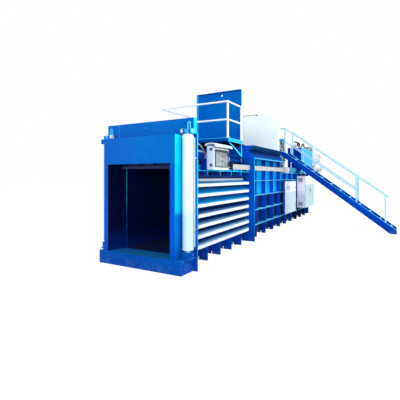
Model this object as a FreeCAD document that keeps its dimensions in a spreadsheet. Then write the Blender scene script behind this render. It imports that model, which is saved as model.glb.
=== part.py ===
import FreeCAD, Part
import math
import os
import Sketcher

# Horizontal recycling baler. Frame: X runs from the bale mouth to the tail, Z is up, Y = 0 is the
# middle plane. The origin lies on the ground under the middle of the mouth sill's front face.
# The operator's side is -Y. Sizes are in millimetres.

doc = FreeCAD.newDocument("Baler")
sheet = doc.addObject("Spreadsheet::Sheet", "d")
nodes = []

sizes = {
    # mouth frame
    "sillDepth": 365, "sillHalf": 910, "sillHeight": 235,
    "columnDepth": 215, "columnOuter": 790, "mouthHalf": 692,
    "headerDepth": 200, "headerLow": 1820, "headerTop": 2290,
    "flangeThick": 35, "flangeOuter": 990, "flangeTop": 2320,
    # cross-head and its two tie cylinders
    "beamFront": 290, "beamDepth": 85, "beamHalf": 977, "beamHeight": 265, "beamHole": 27,
    "tieX": 215, "tieY": 905, "tieRadius": 92, "tieBore": 60, "tieRod": 45,
    "tieFoot": 320, "tieBarrelLow": 388, "tieEye": 2352, "lugThick": 25, "lugGap": 94,
    "seat": 0.3, "runFit": 0.05,
    # bale channel
    "wallOuter": 600, "wallThick": 25, "wallLow": 60, "frontWallTop": 1950,
    "floorTop": 235, "floorThick": 35, "channelEnd": 3280,
    "barCount": 7, "barTop": 1440, "barPitch": 188, "barReach": 790, "barHalf": 28, "barSlope": 105,
    "lipThick": 24, "lipEnd": 3160, "railLow": 1604, "railTop": 1716, "railPlate": 12, "ribThick": 20,
    "frontRibStart": 1100, "frontRibPitch": 545, "frontRibCount": 4,
    "flapHingeX": 2600, "flapHingeZ": 1762, "flapPin": 20, "flapEye": 34, "flapUnder": 1740,
    "flapThick": 45, "flapRib": 60,
    # press chamber and tail
    "plateThick": 30, "plateOuter": 915, "plateTop": 2056,
    "ribStart": 3950, "ribPitch": 713, "ribCount": 9, "tallRibs": 4, "ribOuter": 723,
    "hopperEnd": 6120, "hopperSideEnd": 5900, "tailTop": 1720, "tailEnd": 10350,
    "beltOuter": 735, "beltThick": 16, "beltLow": 322, "beltPitch": 386, "beltCount": 4,
    # hopper
    "rimZ": 2370, "rimOuter": 890, "waistZ": 2240, "waistOuter": 764, "hopperThick": 20,
    "tallFront": 3110, "tallRight": 645, "tallLeft": 598, "tallTop": 3730, "tallThick": 12, "tallFlange": 60,
    "rearHalf": 668, "rearTop": 3660,
    # ram
    "ramFront": 6160, "ramLength": 850, "ramGap": 7, "ramHalf": "=wallOuter - wallThick - ramGap",
    "ramLow": 236, "ramTop": 1650,
    "ramRod": 100, "ramAxisZ": 945, "barrelFront": 7160, "barrelEnd": 10240,
    "barrelOuter": 180, "barrelBore": 140, "glandLength": 90, "pistonLength": 100,
    # walkway
    "deckFront": 1775, "deckRear": 2530, "deckTop": 2405, "deckDeep": 75, "deckPlate": 8,
    "deckRight": 910, "deckLeft": 805, "railTube": 21, "railHigh": 3160, "railMid": 2785,
    "railInset": 22, "armLow": 2045,
    # stair and landing
    "stairX": 6200, "stairWide": 670, "stairTop": 2390, "stairHead": 846, "stairFoot": 3960,
    "stringerFlange": 50, "stringerWeb": 10, "stringerDeep": 183, "treadCount": 11,
    "treadDeep": 250, "treadThick": 30, "handrail": 763,
    "landingEnd": 7150, "landingThick": 50,
    # cabinets
    "boxFront": 950, "boxWide": 665, "boxNear": 860, "boxDeep": 115, "boxHigh": 440, "boxSheet": 12,
    "doorThick": 18, "sideBoxX": 6380, "sideBoxWide": 1340, "sideBoxLow": 365, "sideBoxHigh": 1075,
    "sideBoxDeep": 70, "cabinetX": 8060, "cabinetWide": 1450, "cabinetLow": 450,
    "cabinetHigh": 1150, "cabinetDeep": 300, "cabinetNear": 790, "trayLow": 1760, "trayHigh": 110,
    # power pack
    "tankX": 8250, "tankLong": 2050, "tankNear": 380, "tankFar": 900, "tankLow": 1800,
    "tankTop": 2690, "packDeckEnd": 11500, "motorRadius": 250, "motorLong": 640, "motorY": 850,
    "motorZ": 2400, "coolerRadius": 120, "coolerLong": 1500, "coolerY": 900, "coolerZ": 1950,
}


def fillSheet():
    row = 1
    for name, value in sizes.items():
        sheet.set("A%d" % row, name)
        sheet.set("B%d" % row, str(value))
        sheet.setAlias("B%d" % row, name)
        row += 1
    doc.recompute()


def num(formula):
    return float(sheet.evalExpression(str(formula)))


def bind(item, prop, formula):
    item.setExpression(prop, str(formula))


def place(item, at):
    for letter, formula in zip("xyz", at):
        bind(item, "Placement.Base." + letter, formula)
    return item


def box(name, at, size):
    item = doc.addObject("Part::Box", name)
    for prop, formula in zip(("Length", "Width", "Height"), size):
        bind(item, prop, formula)
    return place(item, at)


turns = {
    "x": FreeCAD.Rotation(FreeCAD.Vector(0, 1, 0), 90),
    "y": FreeCAD.Rotation(FreeCAD.Vector(1, 0, 0), -90),
    "z": FreeCAD.Rotation(),
}


def rod(name, axis, at, radius, length):
    item = doc.addObject("Part::Cylinder", name)
    bind(item, "Radius", radius)
    bind(item, "Height", length)
    item.Placement = FreeCAD.Placement(FreeCAD.Vector(), turns[axis])
    return place(item, at)


def ball(name, at, radius):
    item = doc.addObject("Part::Sphere", name)
    bind(item, "Radius", radius)
    return place(item, at)


planes = {
    "XY": (FreeCAD.Rotation(), FreeCAD.Vector(0, 0, 1)),
    "XZ": (FreeCAD.Rotation(FreeCAD.Vector(1, 0, 0), 90), FreeCAD.Vector(0, 1, 0)),
    "YZ": (FreeCAD.Rotation(0.5, 0.5, 0.5, 0.5), FreeCAD.Vector(1, 0, 0)),
}


def profile(name, plane, at, points, depth):
    # A closed outline of straight edges, each corner held by two formulas, drawn out along +axis.
    turn, along = planes[plane]
    sketch = doc.addObject("Sketcher::SketchObject", name + "_outline")
    corners = [FreeCAD.Vector(num(u), num(v), 0) for u, v in points]
    count = len(corners)
    for i in range(count):
        sketch.addGeometry(Part.LineSegment(corners[i], corners[(i + 1) % count]), False)
    for i in range(count):
        sketch.addConstraint(Sketcher.Constraint("Coincident", i, 2, (i + 1) % count, 1))
    for i, (u, v) in enumerate(points):
        for kind, formula in (("DistanceX", u), ("DistanceY", v)):
            mark = sketch.addConstraint(Sketcher.Constraint(kind, -1, 1, i, 1, num(formula)))
            bind(sketch, "Constraints[%d]" % mark, formula)
    sketch.Placement = FreeCAD.Placement(FreeCAD.Vector(), turn)
    place(sketch, at)
    item = doc.addObject("Part::Extrusion", name)
    item.Base = sketch
    item.DirMode = "Custom"
    item.Dir = along
    item.Solid = True
    bind(item, "LengthFwd", depth)
    return item


def fuse(name, items):
    item = doc.addObject("Part::MultiFuse", name)
    item.Shapes = items
    item.Refine = True
    return item


def cut(name, base, tool):
    item = doc.addObject("Part::Cut", name)
    item.Base = base
    item.Tool = tool
    return item


def group(name, items):
    item = doc.addObject("Part::Compound", name)
    item.Links = items
    return item


def mirror(name, source):
    item = doc.addObject("Part::Mirroring", name)
    item.Source = source
    item.Base = FreeCAD.Vector(0, 0, 0)
    item.Normal = FreeCAD.Vector(0, 1, 0)
    return item


def node(item, label):
    item.Label = label
    nodes.append(item)
    return item


def pair(name, item):
    # the piece on the far side (+Y) and its mirror image on the operator's side
    node(item, name + "_left")
    node(mirror(name + "Mirror", item), name + "_right")


def bothSides(name, item):
    # both mirror images in one node, as separate solids
    return node(group(name + "Both", [item, mirror(name + "Mirror", item)]), name)


def roundedBox(name, at, size, radius):
    body = box(name + "Block", at, size)
    doc.recompute()
    upright = [i + 1 for i, edge in enumerate(body.Shape.Edges)
               if abs(edge.tangentAt(edge.FirstParameter).z) > 0.9]
    item = doc.addObject("Part::Fillet", name)
    item.Base = body
    item.Edges = [(i, radius, radius) for i in upright]
    return item


def pipe(name, points, radius, bend):
    # A round pipe or hose along straight runs joined by tangent arcs of one bend radius.
    corners = [FreeCAD.Vector(*point) for point in points]
    edges = []
    start = corners[0]
    for before, corner, after in zip(corners, corners[1:], corners[2:]):
        into = (corner - before).normalize()
        out = (after - corner).normalize()
        half = into.getAngle(out) / 2
        reach = bend * math.tan(half)
        first = corner - into * reach
        last = corner + out * reach
        inward = (out - into).normalize()
        middle = corner + inward * (bend / math.cos(half) - bend)
        edges.append(Part.LineSegment(start, first).toShape())
        edges.append(Part.Arc(first, middle, last).toShape())
        start = last
    edges.append(Part.LineSegment(start, corners[-1]).toShape())
    spine = Part.Wire(edges)
    disc = Part.Face(Part.Wire(Part.Circle(corners[0], corners[1] - corners[0], radius).toShape()))
    item = doc.addObject("Part::Feature", name)
    item.Shape = spine.makePipe(disc)
    return item


def mouthFrame():
    node(box("sill", (0, "-d.sillHalf", 0), ("d.sillDepth", "2 * d.sillHalf", "d.sillHeight")),
         "mouth_sill")
    # each column has a sloped cheek behind it that leads the bale out of the channel
    column = profile("column", "XY", (0, 0, "d.sillHeight"), [
        (0, "d.mouthHalf"), (60, "d.mouthHalf"), ("d.sillDepth", "d.wallOuter"),
        ("d.sillDepth", "d.wallOuter + 50"), ("d.columnDepth", "d.mouthHalf + 8"),
        ("d.columnDepth", "d.columnOuter"), (0, "d.columnOuter")],
        "d.headerLow - d.sillHeight")
    bothSides("mouth_columns", column)
    header = box("headerBlock", (0, "-d.columnOuter", "d.headerLow"),
                 ("d.headerDepth", "2 * d.columnOuter", "d.headerTop - d.headerLow"))
    ear = box("headerEar", (0, "d.columnOuter - 5", "d.headerTop - 85"), (60, 80, 85))
    node(fuse("headerWithEar", [header, ear]), "mouth_header")
    flange = box("flange", ("d.sillDepth", "d.wallOuter", 0),
                 ("d.flangeThick", "d.flangeOuter - d.wallOuter", "d.flangeTop"))
    ports = fuse("flangePorts", [rod("flangePort%d" % z, "x", ("d.sillDepth - 1", "d.tieY", z), 24, "d.flangeThick + 2")
                                 for z in (2179, 2040)])
    flange = cut("flangeWithPorts", flange, ports)
    midPlate = box("midPlate", ("d.channelEnd", "d.wallOuter - d.wallThick", 0),
                   ("d.plateThick", "d.plateOuter - d.wallOuter + d.wallThick", "d.plateTop"))
    tailPlate = box("tailPlate", ("d.tailEnd", "-d.ribOuter", 0), (30, "2 * d.ribOuter", "d.tailTop"))
    node(group("framePlates", [flange, mirror("flangeMirror", flange), midPlate,
                               mirror("midPlateMirror", midPlate), tailPlate]), "frame_plates")


def lug(name, y, low, high, eyeZ, back):
    # a lug plate with a round end about the tie cylinder's pin
    half = 43
    if back:
        plate = box(name + "Plate", ("d.tieX", y, eyeZ + " - %d" % half),
                    ("d.beamFront - d.tieX", "d.lugThick", 2 * half))
    else:
        plate = box(name + "Plate", ("d.tieX - %d" % half, y, low),
                    (2 * half, "d.lugThick", high))
    return fuse(name, [plate, rod(name + "End", "y", ("d.tieX", y, eyeZ), half, "d.lugThick")])


def tieCylinders():
    inner = "d.tieY - d.lugGap / 2 - d.lugThick"
    outer = "d.tieY + d.lugGap / 2"
    # foot bracket on the sill with its pin
    base = box("footBase", ("d.tieX - 105", "d.tieY - 90", "d.sillHeight"), (210, 172, 20))
    foot = fuse("tieFootBracket", [
        base, lug("footInner", inner, "d.sillHeight", "d.tieFoot - d.sillHeight", "d.tieFoot", False),
        lug("footOuter", outer, "d.sillHeight", "d.tieFoot - d.sillHeight", "d.tieFoot", False),
        box("footFront", ("d.tieX - 75", inner, "d.sillHeight"), (14, outer + " - (" + inner + ") + d.lugThick", 125)),
        rod("footPin", "y", ("d.tieX", "d.tieY - 85", "d.tieFoot"), 25, 170)])
    bothSides("tie_foot_brackets", foot)
    # barrel: a lower eye, the tube, and a gland ring at the top
    top = "d.flangeTop - 30"
    solid = fuse("barrelSolid", [
        rod("barrelTube", "z", ("d.tieX", "d.tieY", "d.tieBarrelLow"), "d.tieRadius",
            top + " - d.tieBarrelLow"),
        rod("barrelNeck", "z", ("d.tieX", "d.tieY", "d.tieFoot + 20"), 38, 60),
        cut("barrelEye", rod("barrelEyeRing", "y", ("d.tieX", "d.tieY - 40", "d.tieFoot"), 46, 80),
            rod("barrelEyeHole", "y", ("d.tieX", "d.tieY - 41", "d.tieFoot"), "25 + d.runFit", 82)),
        rod("barrelPortHigh", "x", ("d.tieX + d.tieRadius - 5", "d.tieY", 2179), 22, 30),
        rod("barrelPortLow", "x", ("d.tieX + d.tieRadius - 5", "d.tieY", 2040), 22, 30)])
    holes = fuse("barrelHoles", [
        rod("barrelBoreHole", "z", ("d.tieX", "d.tieY", 1400), "d.tieBore", top + " - 60 - 1400"),
        rod("barrelGlandHole", "z", ("d.tieX", "d.tieY", 1500), "d.tieRod + d.runFit", 900),
        rod("barrelPinHole", "y", ("d.tieX", "d.tieY - 60", "d.tieFoot"), "25 + d.runFit", 120)])
    bothSides("tie_barrels", cut("tieBarrel", solid, holes))
    rodLow = 1500
    stick = fuse("tieRodSolid", [
        rod("tieRodBar", "z", ("d.tieX", "d.tieY", rodLow), "d.tieRod", "d.tieEye - 30 - %d" % rodLow),
        rod("tieRodPiston", "z", ("d.tieX", "d.tieY", rodLow), "d.tieBore - d.runFit", 60),
        rod("tieRodEye", "y", ("d.tieX", "d.tieY - 40", "d.tieEye"), 42, 80)])
    pinHole = rod("tieRodHole", "y", ("d.tieX", "d.tieY - 41", "d.tieEye"), "25 + d.runFit", 82)
    bothSides("tie_rods", cut("tieRod", stick, pinHole))
    bothSides("tie_pins", fuse("tiePin", [
        rod("tiePinBar", "y", ("d.tieX", "d.tieY - 95", "d.tieEye"), 25, 190),
        rod("tiePinHead", "y", ("d.tieX", "d.tieY - 115", "d.tieEye"), 46, 20)]))
    # oil pipe that runs down beside each barrel, with its two clamps
    x, y = "d.sillDepth - 25", "d.tieY + 50"
    bothSides("tie_pipes", fuse("tiePipe", [
        rod("tiePipeRun", "z", (x, y, 420), 14, 1830),
        box("tieClampLow", (x + " - 14", y + " - 20", 700), (39, 40, 24)),
        box("tieClampHigh", (x + " - 14", y + " - 20", 1900), (39, 40, 24))]))


def crossHead():
    low = "d.flangeTop + d.seat"
    # bent bar loops for the sling, on the beam's front face
    loopX, loopY, loopTop = num("d.beamFront - 6"), num("d.tieY - 17"), num("d.flangeTop + 190")
    ring = pipe("liftLoop", [(loopX, loopY - 24, loopTop - 140), (loopX, loopY - 24, loopTop),
                             (loopX, loopY + 24, loopTop), (loopX, loopY + 24, loopTop - 140)], 8, 23)
    block = box("beamBlock", ("d.beamFront", "-d.beamHalf", low),
                ("d.beamDepth", "2 * d.beamHalf", "d.beamHeight"))
    hole = rod("beamLiftHole", "x", ("d.beamFront - 5", 27, low + " + d.beamHeight - 95"),
               "d.beamHole", "d.beamDepth + 10")
    inner = "d.tieY - d.lugGap / 2 - d.lugThick"
    outer = "d.tieY + d.lugGap / 2"
    lugs = [lug("headInner", inner, 0, 0, "d.tieEye", True), lug("headOuter", outer, 0, 0, "d.tieEye", True)]
    lugs += [mirror(part.Name + "Mirror", part) for part in lugs]
    holes = [rod("headPinHole", "y", ("d.tieX", "d.tieY - 100", "d.tieEye"), "25 + d.runFit", 200)]
    holes.append(mirror("headPinHoleMirror", holes[0]))
    solid = fuse("beamWithLugs", [block, ring, mirror("liftLoopMirror", ring)] + lugs)
    beam = cut("crossHead", solid, fuse("beamHoles", [hole] + holes))
    node(beam, "crosshead_beam")
    press = box("pressPlate", ("d.beamFront + 20", "-d.wallOuter + 40", "d.flapUnder + d.flapThick + d.flapRib + d.seat"),
                (60, "2 * (d.wallOuter - 40)", low + " - d.flapUnder - d.flapThick - d.flapRib - d.seat"))
    node(press, "press_plate")


def topFlap():
    plate = box("flapPlate", ("d.columnDepth + 20", "-d.wallOuter + d.wallThick + 5", "d.flapUnder"),
                ("d.flapHingeX - d.columnDepth - 20", "2 * (d.wallOuter - d.wallThick - 5)", "d.flapThick"))
    # four ribs at even steps, the outer ones 100 mm inside the channel's outer faces
    ribs = [box("flapRib%d" % i, ("d.columnDepth + 20", "-d.wallOuter + 100 + %d * (2 * d.wallOuter - 225) / 3" % i,
                                  "d.flapUnder + d.flapThick"),
                ("d.flapHingeX - d.columnDepth - 120", 25, "d.flapRib")) for i in range(4)]
    eye = rod("flapEyeTube", "y", ("d.flapHingeX", "-d.wallOuter + d.wallThick + 5", "d.flapHingeZ"),
              "d.flapEye", "2 * (d.wallOuter - d.wallThick - 5)")
    bore = rod("flapBore", "y", ("d.flapHingeX", "-d.wallOuter", "d.flapHingeZ"),
               "d.flapPin + d.runFit", "2 * d.wallOuter")
    node(cut("flap", fuse("flapSolid", [plate, eye] + ribs), bore), "top_flap")
    node(rod("flapPinBar", "y", ("d.flapHingeX", "-d.wallOuter + d.wallThick", "d.flapHingeZ"),
             "d.flapPin", "2 * (d.wallOuter - d.wallThick)"), "flap_pin")


def channelSide():
    inner = "d.wallOuter - d.wallThick"
    parts = [box("frontWall", ("d.sillDepth + d.flangeThick", inner, "d.wallLow"),
                 ("d.channelEnd - d.sillDepth - d.flangeThick", "d.wallThick", "d.frontWallTop - d.wallLow"))]
    start = "d.sillDepth + d.flangeThick"
    run = "d.channelEnd - d.sillDepth - d.flangeThick"
    lips = []
    for i in range(int(num("d.barCount"))):
        middle = "d.barTop - %d * d.barPitch" % i
        slope = "d.barSlope" if i else "d.barSlope - 35"
        parts.append(profile("bar%d" % i, "YZ", (start, 0, 0), [
            ("d.wallOuter", middle + " - d.barHalf"), ("d.barReach", middle + " - d.barHalf"),
            ("d.barReach", middle + " + d.barHalf"), ("d.wallOuter", middle + " + " + slope)], run))
        lips.append(box("lip%d" % i, (start, "d.barReach", middle + " - d.barHalf"),
                        ("d.lipEnd - " + start.replace(" + ", " - "), "d.lipThick", "2 * d.barHalf")))
    lips.append(box("lipStrip", (start + " + 90", "d.wallOuter", "d.barTop + d.barSlope - 35"),
                    (run + " - 130", 30, 46)))
    low = "d.barTop - (d.barCount - 1) * d.barPitch"
    for i in range(int(num("d.frontRibCount"))):
        x = "d.frontRibStart + %d * d.frontRibPitch" % i
        parts.append(profile("frontRib%d" % i, "YZ", (x, 0, 0), [
            ("d.wallOuter", 0), ("d.barReach", 0), ("d.barReach", low),
            ("d.wallOuter + 40", low + " + d.barPitch - d.barHalf"),
            ("d.wallOuter", low + " + d.barPitch - d.barHalf")], "d.ribThick"))
        parts.append(box("railDivider%d" % i, (x, "d.wallOuter", "d.railLow"),
                         ("d.ribThick", "d.barReach - d.wallOuter", "d.railTop - d.railLow")))
    for name, z in (("railUnder", "d.railLow"), ("railOver", "d.railTop - d.railPlate")):
        parts.append(box(name, (start, "d.wallOuter", z),
                         (run, "d.barReach - d.wallOuter", "d.railPlate")))
    # gusset that rises above the rail at the first rib
    parts.append(profile("upperGusset", "YZ", ("d.frontRibStart + 70", 0, 0), [
        ("d.wallOuter", "d.railTop + 10"), ("d.barReach", "d.railTop + 10"), ("d.barReach", "d.frontWallTop - 70"),
        ("d.barReach - 60", "d.frontWallTop"), ("d.wallOuter", "d.frontWallTop")], "d.ribThick"))
    pair("channel_side", fuse("channelSideWeldment", parts))
    bothSides("bar_lips", group("lipGroup", lips))


def floorsAndFeet():
    inner = "2 * (d.wallOuter - d.wallThick)"
    rungs = [box("channelFloor", ("d.sillDepth", "-d.wallOuter + d.wallThick", "d.floorTop - d.floorThick"),
             ("d.tailEnd - d.sillDepth", inner, "d.floorThick"))]
    for i in range(int(num("d.frontRibCount"))):
        rungs.append(box("rungFront%d" % i, ("d.frontRibStart + %d * d.frontRibPitch" % i, "-d.wallOuter + d.wallThick", 0),
                         ("d.ribThick", inner, "d.floorTop - d.floorThick")))
    for i in range(int(num("d.ribCount"))):
        rungs.append(box("rungRear%d" % i, ("d.ribStart + %d * d.ribPitch" % i, "-d.wallOuter + d.wallThick", 0),
                         ("d.ribThick", inner, "d.floorTop - d.floorThick")))
    node(fuse("floorWithRungs", rungs), "channel_floor")


def chamberSide():
    start = "d.channelEnd + d.plateThick"
    inner = "d.wallOuter - d.wallThick"
    top = "d.plateTop - d.beltThick"
    parts = [
        box("hopperWall", (start, inner, "d.wallLow"),
            ("d.hopperEnd - d.channelEnd - d.plateThick", "d.wallThick", top + " - d.wallLow")),
        box("tailWall", ("d.hopperEnd", inner, "d.wallLow"),
            ("d.tailEnd - d.hopperEnd", "d.wallThick", "d.tailTop - d.wallLow")),
        box("topBelt", (start, inner, top),
            ("d.hopperEnd - d.channelEnd - d.plateThick", "d.rimOuter - d.wallOuter + d.wallThick", "d.beltThick")),
        box("tailCap", ("d.hopperEnd", "d.wallOuter", "d.tailTop - d.beltThick"),
            ("d.tailEnd - d.hopperEnd", "d.ribOuter - d.wallOuter", "d.beltThick"))]
    for i in range(int(num("d.ribCount"))):
        height = top if i < num("d.tallRibs") else "d.tailTop"
        parts.append(box("rib%d" % i, ("d.ribStart + %d * d.ribPitch" % i, "d.wallOuter", 0),
                         ("d.ribThick", "d.ribOuter - d.wallOuter", height)))
    for i in range(int(num("d.beltCount"))):
        parts.append(box("belt%d" % i, (start, "d.wallOuter", "d.beltLow + %d * d.beltPitch" % i),
                         ("d.tailEnd - d.channelEnd - d.plateThick", "d.beltOuter - d.wallOuter", "d.beltThick")))
    pair("chamber_side", fuse("chamberSideWeldment", parts))
    inside = "2 * (d.wallOuter - d.wallThick)"
    node(group("roofPlates", [
        box("tailRoof", ("d.hopperEnd + 60", "-d.wallOuter + d.wallThick", "d.tailTop - 20"),
            ("d.tailEnd - d.hopperEnd - 60", inside, 20)),
        box("channelRoof", ("d.flapHingeX + 40", "-d.wallOuter + d.wallThick", "d.flapUnder"),
            ("d.channelEnd - d.flapHingeX - 40", inside, "d.flapThick"))]), "roof_plates")
    node(box("shearBlade", ("d.channelEnd - 20", "-d.wallOuter + d.wallThick", "d.ramTop + 2"),
             (50, "2 * (d.wallOuter - d.wallThick)", "d.flapUnder - d.ramTop - 2")), "shear_blade")


def hopper():
    # side: leans in to the waist and flares out again to the rim
    side = profile("hopperSide", "YZ", ("d.channelEnd + d.plateThick", 0, 0), [
        ("d.wallOuter - d.wallThick", "d.plateTop"), ("d.rimOuter", "d.plateTop"),
        ("d.waistOuter", "d.waistZ"), ("d.rimOuter", "d.rimZ"),
        ("d.rimOuter - d.hopperThick - 8", "d.rimZ"), ("d.waistOuter - d.hopperThick - 8", "d.waistZ")],
        "d.hopperSideEnd - d.channelEnd - d.plateThick")
    outline = []
    for sign in ("", "-"):
        half = [("d.plateOuter", "d.plateTop"), ("d.waistOuter", "d.waistZ"), ("d.rimOuter", "d.rimZ")]
        if sign:
            half = [("-" + u, v) for u, v in reversed(half)]
        outline += half
    node(profile("hopperFront", "YZ", ("d.channelEnd", 0, 0), outline, "d.plateThick"), "hopper_front")
    rear = [("-d.rearHalf", "d.tailTop"), ("d.rearHalf", "d.tailTop"), ("d.rearHalf", "d.rearTop"),
            ("-d.rearHalf", "d.rearTop")]
    node(profile("hopperRear", "YZ", ("d.hopperEnd", 0, 0), rear, "d.tallThick + 8"), "hopper_rear_plate")
    ends = box("hopperCorner", ("d.hopperSideEnd", "d.waistOuter - d.hopperThick - 100", "d.plateTop"),
               ("d.hopperEnd - d.hopperSideEnd", 90, "d.rimZ - d.plateTop"))
    bothSides("hopper_sides", fuse("hopperSideWeldment", [side, ends]))
    low = "d.deckTop"
    wide = "d.tallRight + d.tallLeft"
    skin = box("tallSkin", ("d.tallFront", "-d.tallRight", low), ("d.tallThick", wide, "d.tallTop - d.deckTop"))
    hole = rod("tallHole", "x", ("d.tallFront - 5", "-110", "d.tallTop - 85"), 24, 40)
    edges = [
        box("tallEdgeTop", ("d.tallFront - d.tallFlange", "-d.tallRight", "d.tallTop - d.tallThick"),
            ("d.tallFlange", wide, "d.tallThick")),
        box("tallEdgeLeft", ("d.tallFront - d.tallFlange", "d.tallLeft - d.tallThick", low),
            ("d.tallFlange", "d.tallThick", "d.tallTop - d.deckTop")),
        box("tallEdgeRight", ("d.tallFront - 12", "-d.tallRight", low),
            (12, "d.tallThick", "d.tallTop - d.deckTop"))]
    stays = [profile("tallStay%d" % i, "XZ", (0, "-400 + %d" % (i * 790), 0), [
        ("d.tallFront + d.tallThick", "d.deckTop - d.deckPlate"),
        ("d.channelEnd + d.plateThick", "d.deckTop - d.deckPlate"),
        ("d.tallFront + d.tallThick", "d.rimZ + 700")], 10) for i in range(2)]
    body = cut("tallPlate", fuse("tallPlateSolid", [skin] + edges + stays), hole)
    node(body, "hopper_front_plate")


def ram():
    head = box("ramBlock", ("d.ramFront", "-d.ramHalf", "d.ramLow + 1"),
               ("d.ramLength", "2 * d.ramHalf", "d.ramTop - d.ramLow - 1"))
    # the tying grooves across the pressing face
    grooves = [box("ramGroove%d" % i, ("d.ramFront - 1", "-d.ramHalf - 1", "d.barTop - %d * d.barPitch - 94" % i),
                   (60, "2 * d.ramHalf + 2", 30)) for i in range(6)]
    node(cut("ramHead", head, fuse("ramGrooves", grooves)), "ram_head")
    back = "d.ramFront + d.ramLength"
    node(fuse("ramRodSolid", [
        rod("ramRodBar", "x", (back, 0, "d.ramAxisZ"), "d.ramRod", "d.barrelEnd - 110 - d.ramFront - d.ramLength"),
        rod("ramPiston", "x", ("d.barrelEnd - 110 - d.pistonLength", 0, "d.ramAxisZ"),
            "d.barrelBore - d.runFit", "d.pistonLength")]), "ram_rod")
    barrel = rod("mainTube", "x", ("d.barrelFront", 0, "d.ramAxisZ"), "d.barrelOuter",
                 "d.barrelEnd - d.barrelFront")
    bore = fuse("mainBores", [
        rod("mainBore", "x", ("d.barrelFront + d.glandLength", 0, "d.ramAxisZ"), "d.barrelBore",
            "d.barrelEnd - d.barrelFront - d.glandLength - 60"),
        rod("mainGland", "x", ("d.barrelFront - 1", 0, "d.ramAxisZ"), "d.ramRod + d.runFit", 200)])
    node(cut("mainBarrel", barrel, bore), "main_cylinder_barrel")
    bulkheads = []
    for i, x in enumerate(("d.barrelFront + 200", "d.barrelEnd - 300")):
        wall = box("saddle%dPlate" % i, (x, "-d.wallOuter + d.wallThick", "d.floorTop"),
                   (60, "2 * (d.wallOuter - d.wallThick)", "d.tailTop - 20 - d.floorTop"))
        hole = rod("saddle%dHole" % i, "x", (x + " - 1", 0, "d.ramAxisZ"), "d.barrelOuter", 62)
        bulkheads.append(cut("saddle%d" % i, wall, hole))
    node(group("bulkheads", bulkheads), "cylinder_bulkheads")


def walkway():
    sheetTop = "d.deckTop - d.deckPlate"
    low = "d.deckTop - d.deckDeep"
    wide = "d.deckRight + d.deckLeft"
    long = "d.deckRear - d.deckFront"
    parts = [
        box("deckSheet", ("d.deckFront", "-d.deckRight", sheetTop), (long, wide, "d.deckPlate")),
        box("deckBack", ("d.deckRear", "-d.tallRight", sheetTop),
            ("d.tallFront + d.tallThick - d.deckRear", "d.tallRight + d.deckLeft", "d.deckPlate")),
        box("deckRimFront", ("d.deckFront", "-d.deckRight", low), (6, wide, "d.deckDeep")),
        box("deckRimRear", ("d.deckRear - 6", "-d.deckRight", low), (6, wide, "d.deckDeep")),
        box("deckRimRight", ("d.deckFront", "-d.deckRight", low), (long, 6, "d.deckDeep")),
        box("deckRimLeft", ("d.deckFront", "d.deckLeft - 6", low), (long, 6, "d.deckDeep")),
        box("deckTail", ("d.tallFront", "-d.tallRight", low),
            ("d.channelEnd - d.tallFront", "d.tallRight + d.tallLeft", "d.deckDeep - d.deckPlate"))]
    for i in range(2):
        parts.append(box("deckJoist%d" % i, ("d.deckFront", "-450 + %d" % (i * 890), low),
                         ("d.channelEnd - d.deckFront", 10, "d.deckDeep - d.deckPlate")))
    node(fuse("deck", parts), "walkway_deck")
    supports = []
    for side, reach in ((-1, "d.deckRight - 10"), (1, "d.deckLeft - 10")):
        tag = "Right" if side < 0 else "Left"
        outer = "-(%s)" % reach if side < 0 else reach + " - 50"
        inner = "-(%s)" % reach if side < 0 else "d.wallOuter - d.wallThick"
        span = reach + " - d.wallOuter + d.wallThick"
        parts = [
            box("post" + tag, ("d.deckRear - 50", outer, "d.armLow"), (44, 50, low + " - d.armLow")),
            box("arm" + tag, ("d.deckRear - 50", inner, "d.armLow"), (44, span, 50)),
            box("stub" + tag, ("d.deckRear - 50", "-d.wallOuter" if side < 0 else "d.wallOuter - d.wallThick",
                               "d.frontWallTop"), (44, "d.wallThick", "d.armLow - d.frontWallTop")),
            profile("brace" + tag, "XZ", (0, outer + " + 5", 0), [
                ("d.deckFront + 40", low), ("d.deckFront + 90", low), ("d.deckRear - 50", "d.armLow + 52"),
                ("d.deckRear - 50", "d.armLow + 5")], 40)]
        supports.append(fuse("support" + tag, parts))
    node(group("supports", supports), "walkway_supports")


def tubeBetween(name, start, end, radius):
    # a straight round tube between two points given as formulas
    a = FreeCAD.Vector(*[num(f) for f in start])
    b = FreeCAD.Vector(*[num(f) for f in end])
    item = doc.addObject("Part::Cylinder", name)
    bind(item, "Radius", radius)
    item.Height = (b - a).Length
    item.Placement = FreeCAD.Placement(a, FreeCAD.Rotation(FreeCAD.Vector(0, 0, 1), b - a))
    return item


def walkwayRails():
    front = "d.deckFront + d.railInset"
    rear = "d.deckRear - d.railInset"
    farRear = "d.tallFront - 50"
    right = "-d.deckRight + d.railInset"
    left = "d.deckLeft - d.railInset"
    spots = ((front, right), (rear, right), (front, left), (farRear, left))
    parts = []
    for i, (x, y) in enumerate(spots):
        parts.append(rod("railPost%d" % i, "z", (x, y, "d.deckTop"), "d.railTube", "d.railHigh - d.deckTop"))
        parts.append(ball("railKnob%d" % i, (x, y, "d.railHigh"), "d.railTube"))
    for name, z in (("Top", "d.railHigh"), ("Mid", "d.railMid")):
        parts.append(tubeBetween("rail%sFront" % name, (front, right, z), (front, left, z), "d.railTube - 2"))
        for tag, y, end in (("Right", right, rear), ("Left", left, farRear)):
            parts.append(tubeBetween("rail" + name + tag, (front, y, z), (end, y, z), "d.railTube - 2"))
    node(fuse("deckRails", parts), "walkway_rails")


def stairLine(y):
    # height of the stringer's top edge at a distance y out from the middle plane
    return "(d.stairTop - (%s - d.stairHead) * (d.stairTop - 110) / (d.stairFoot - d.stairHead))" % y


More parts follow.
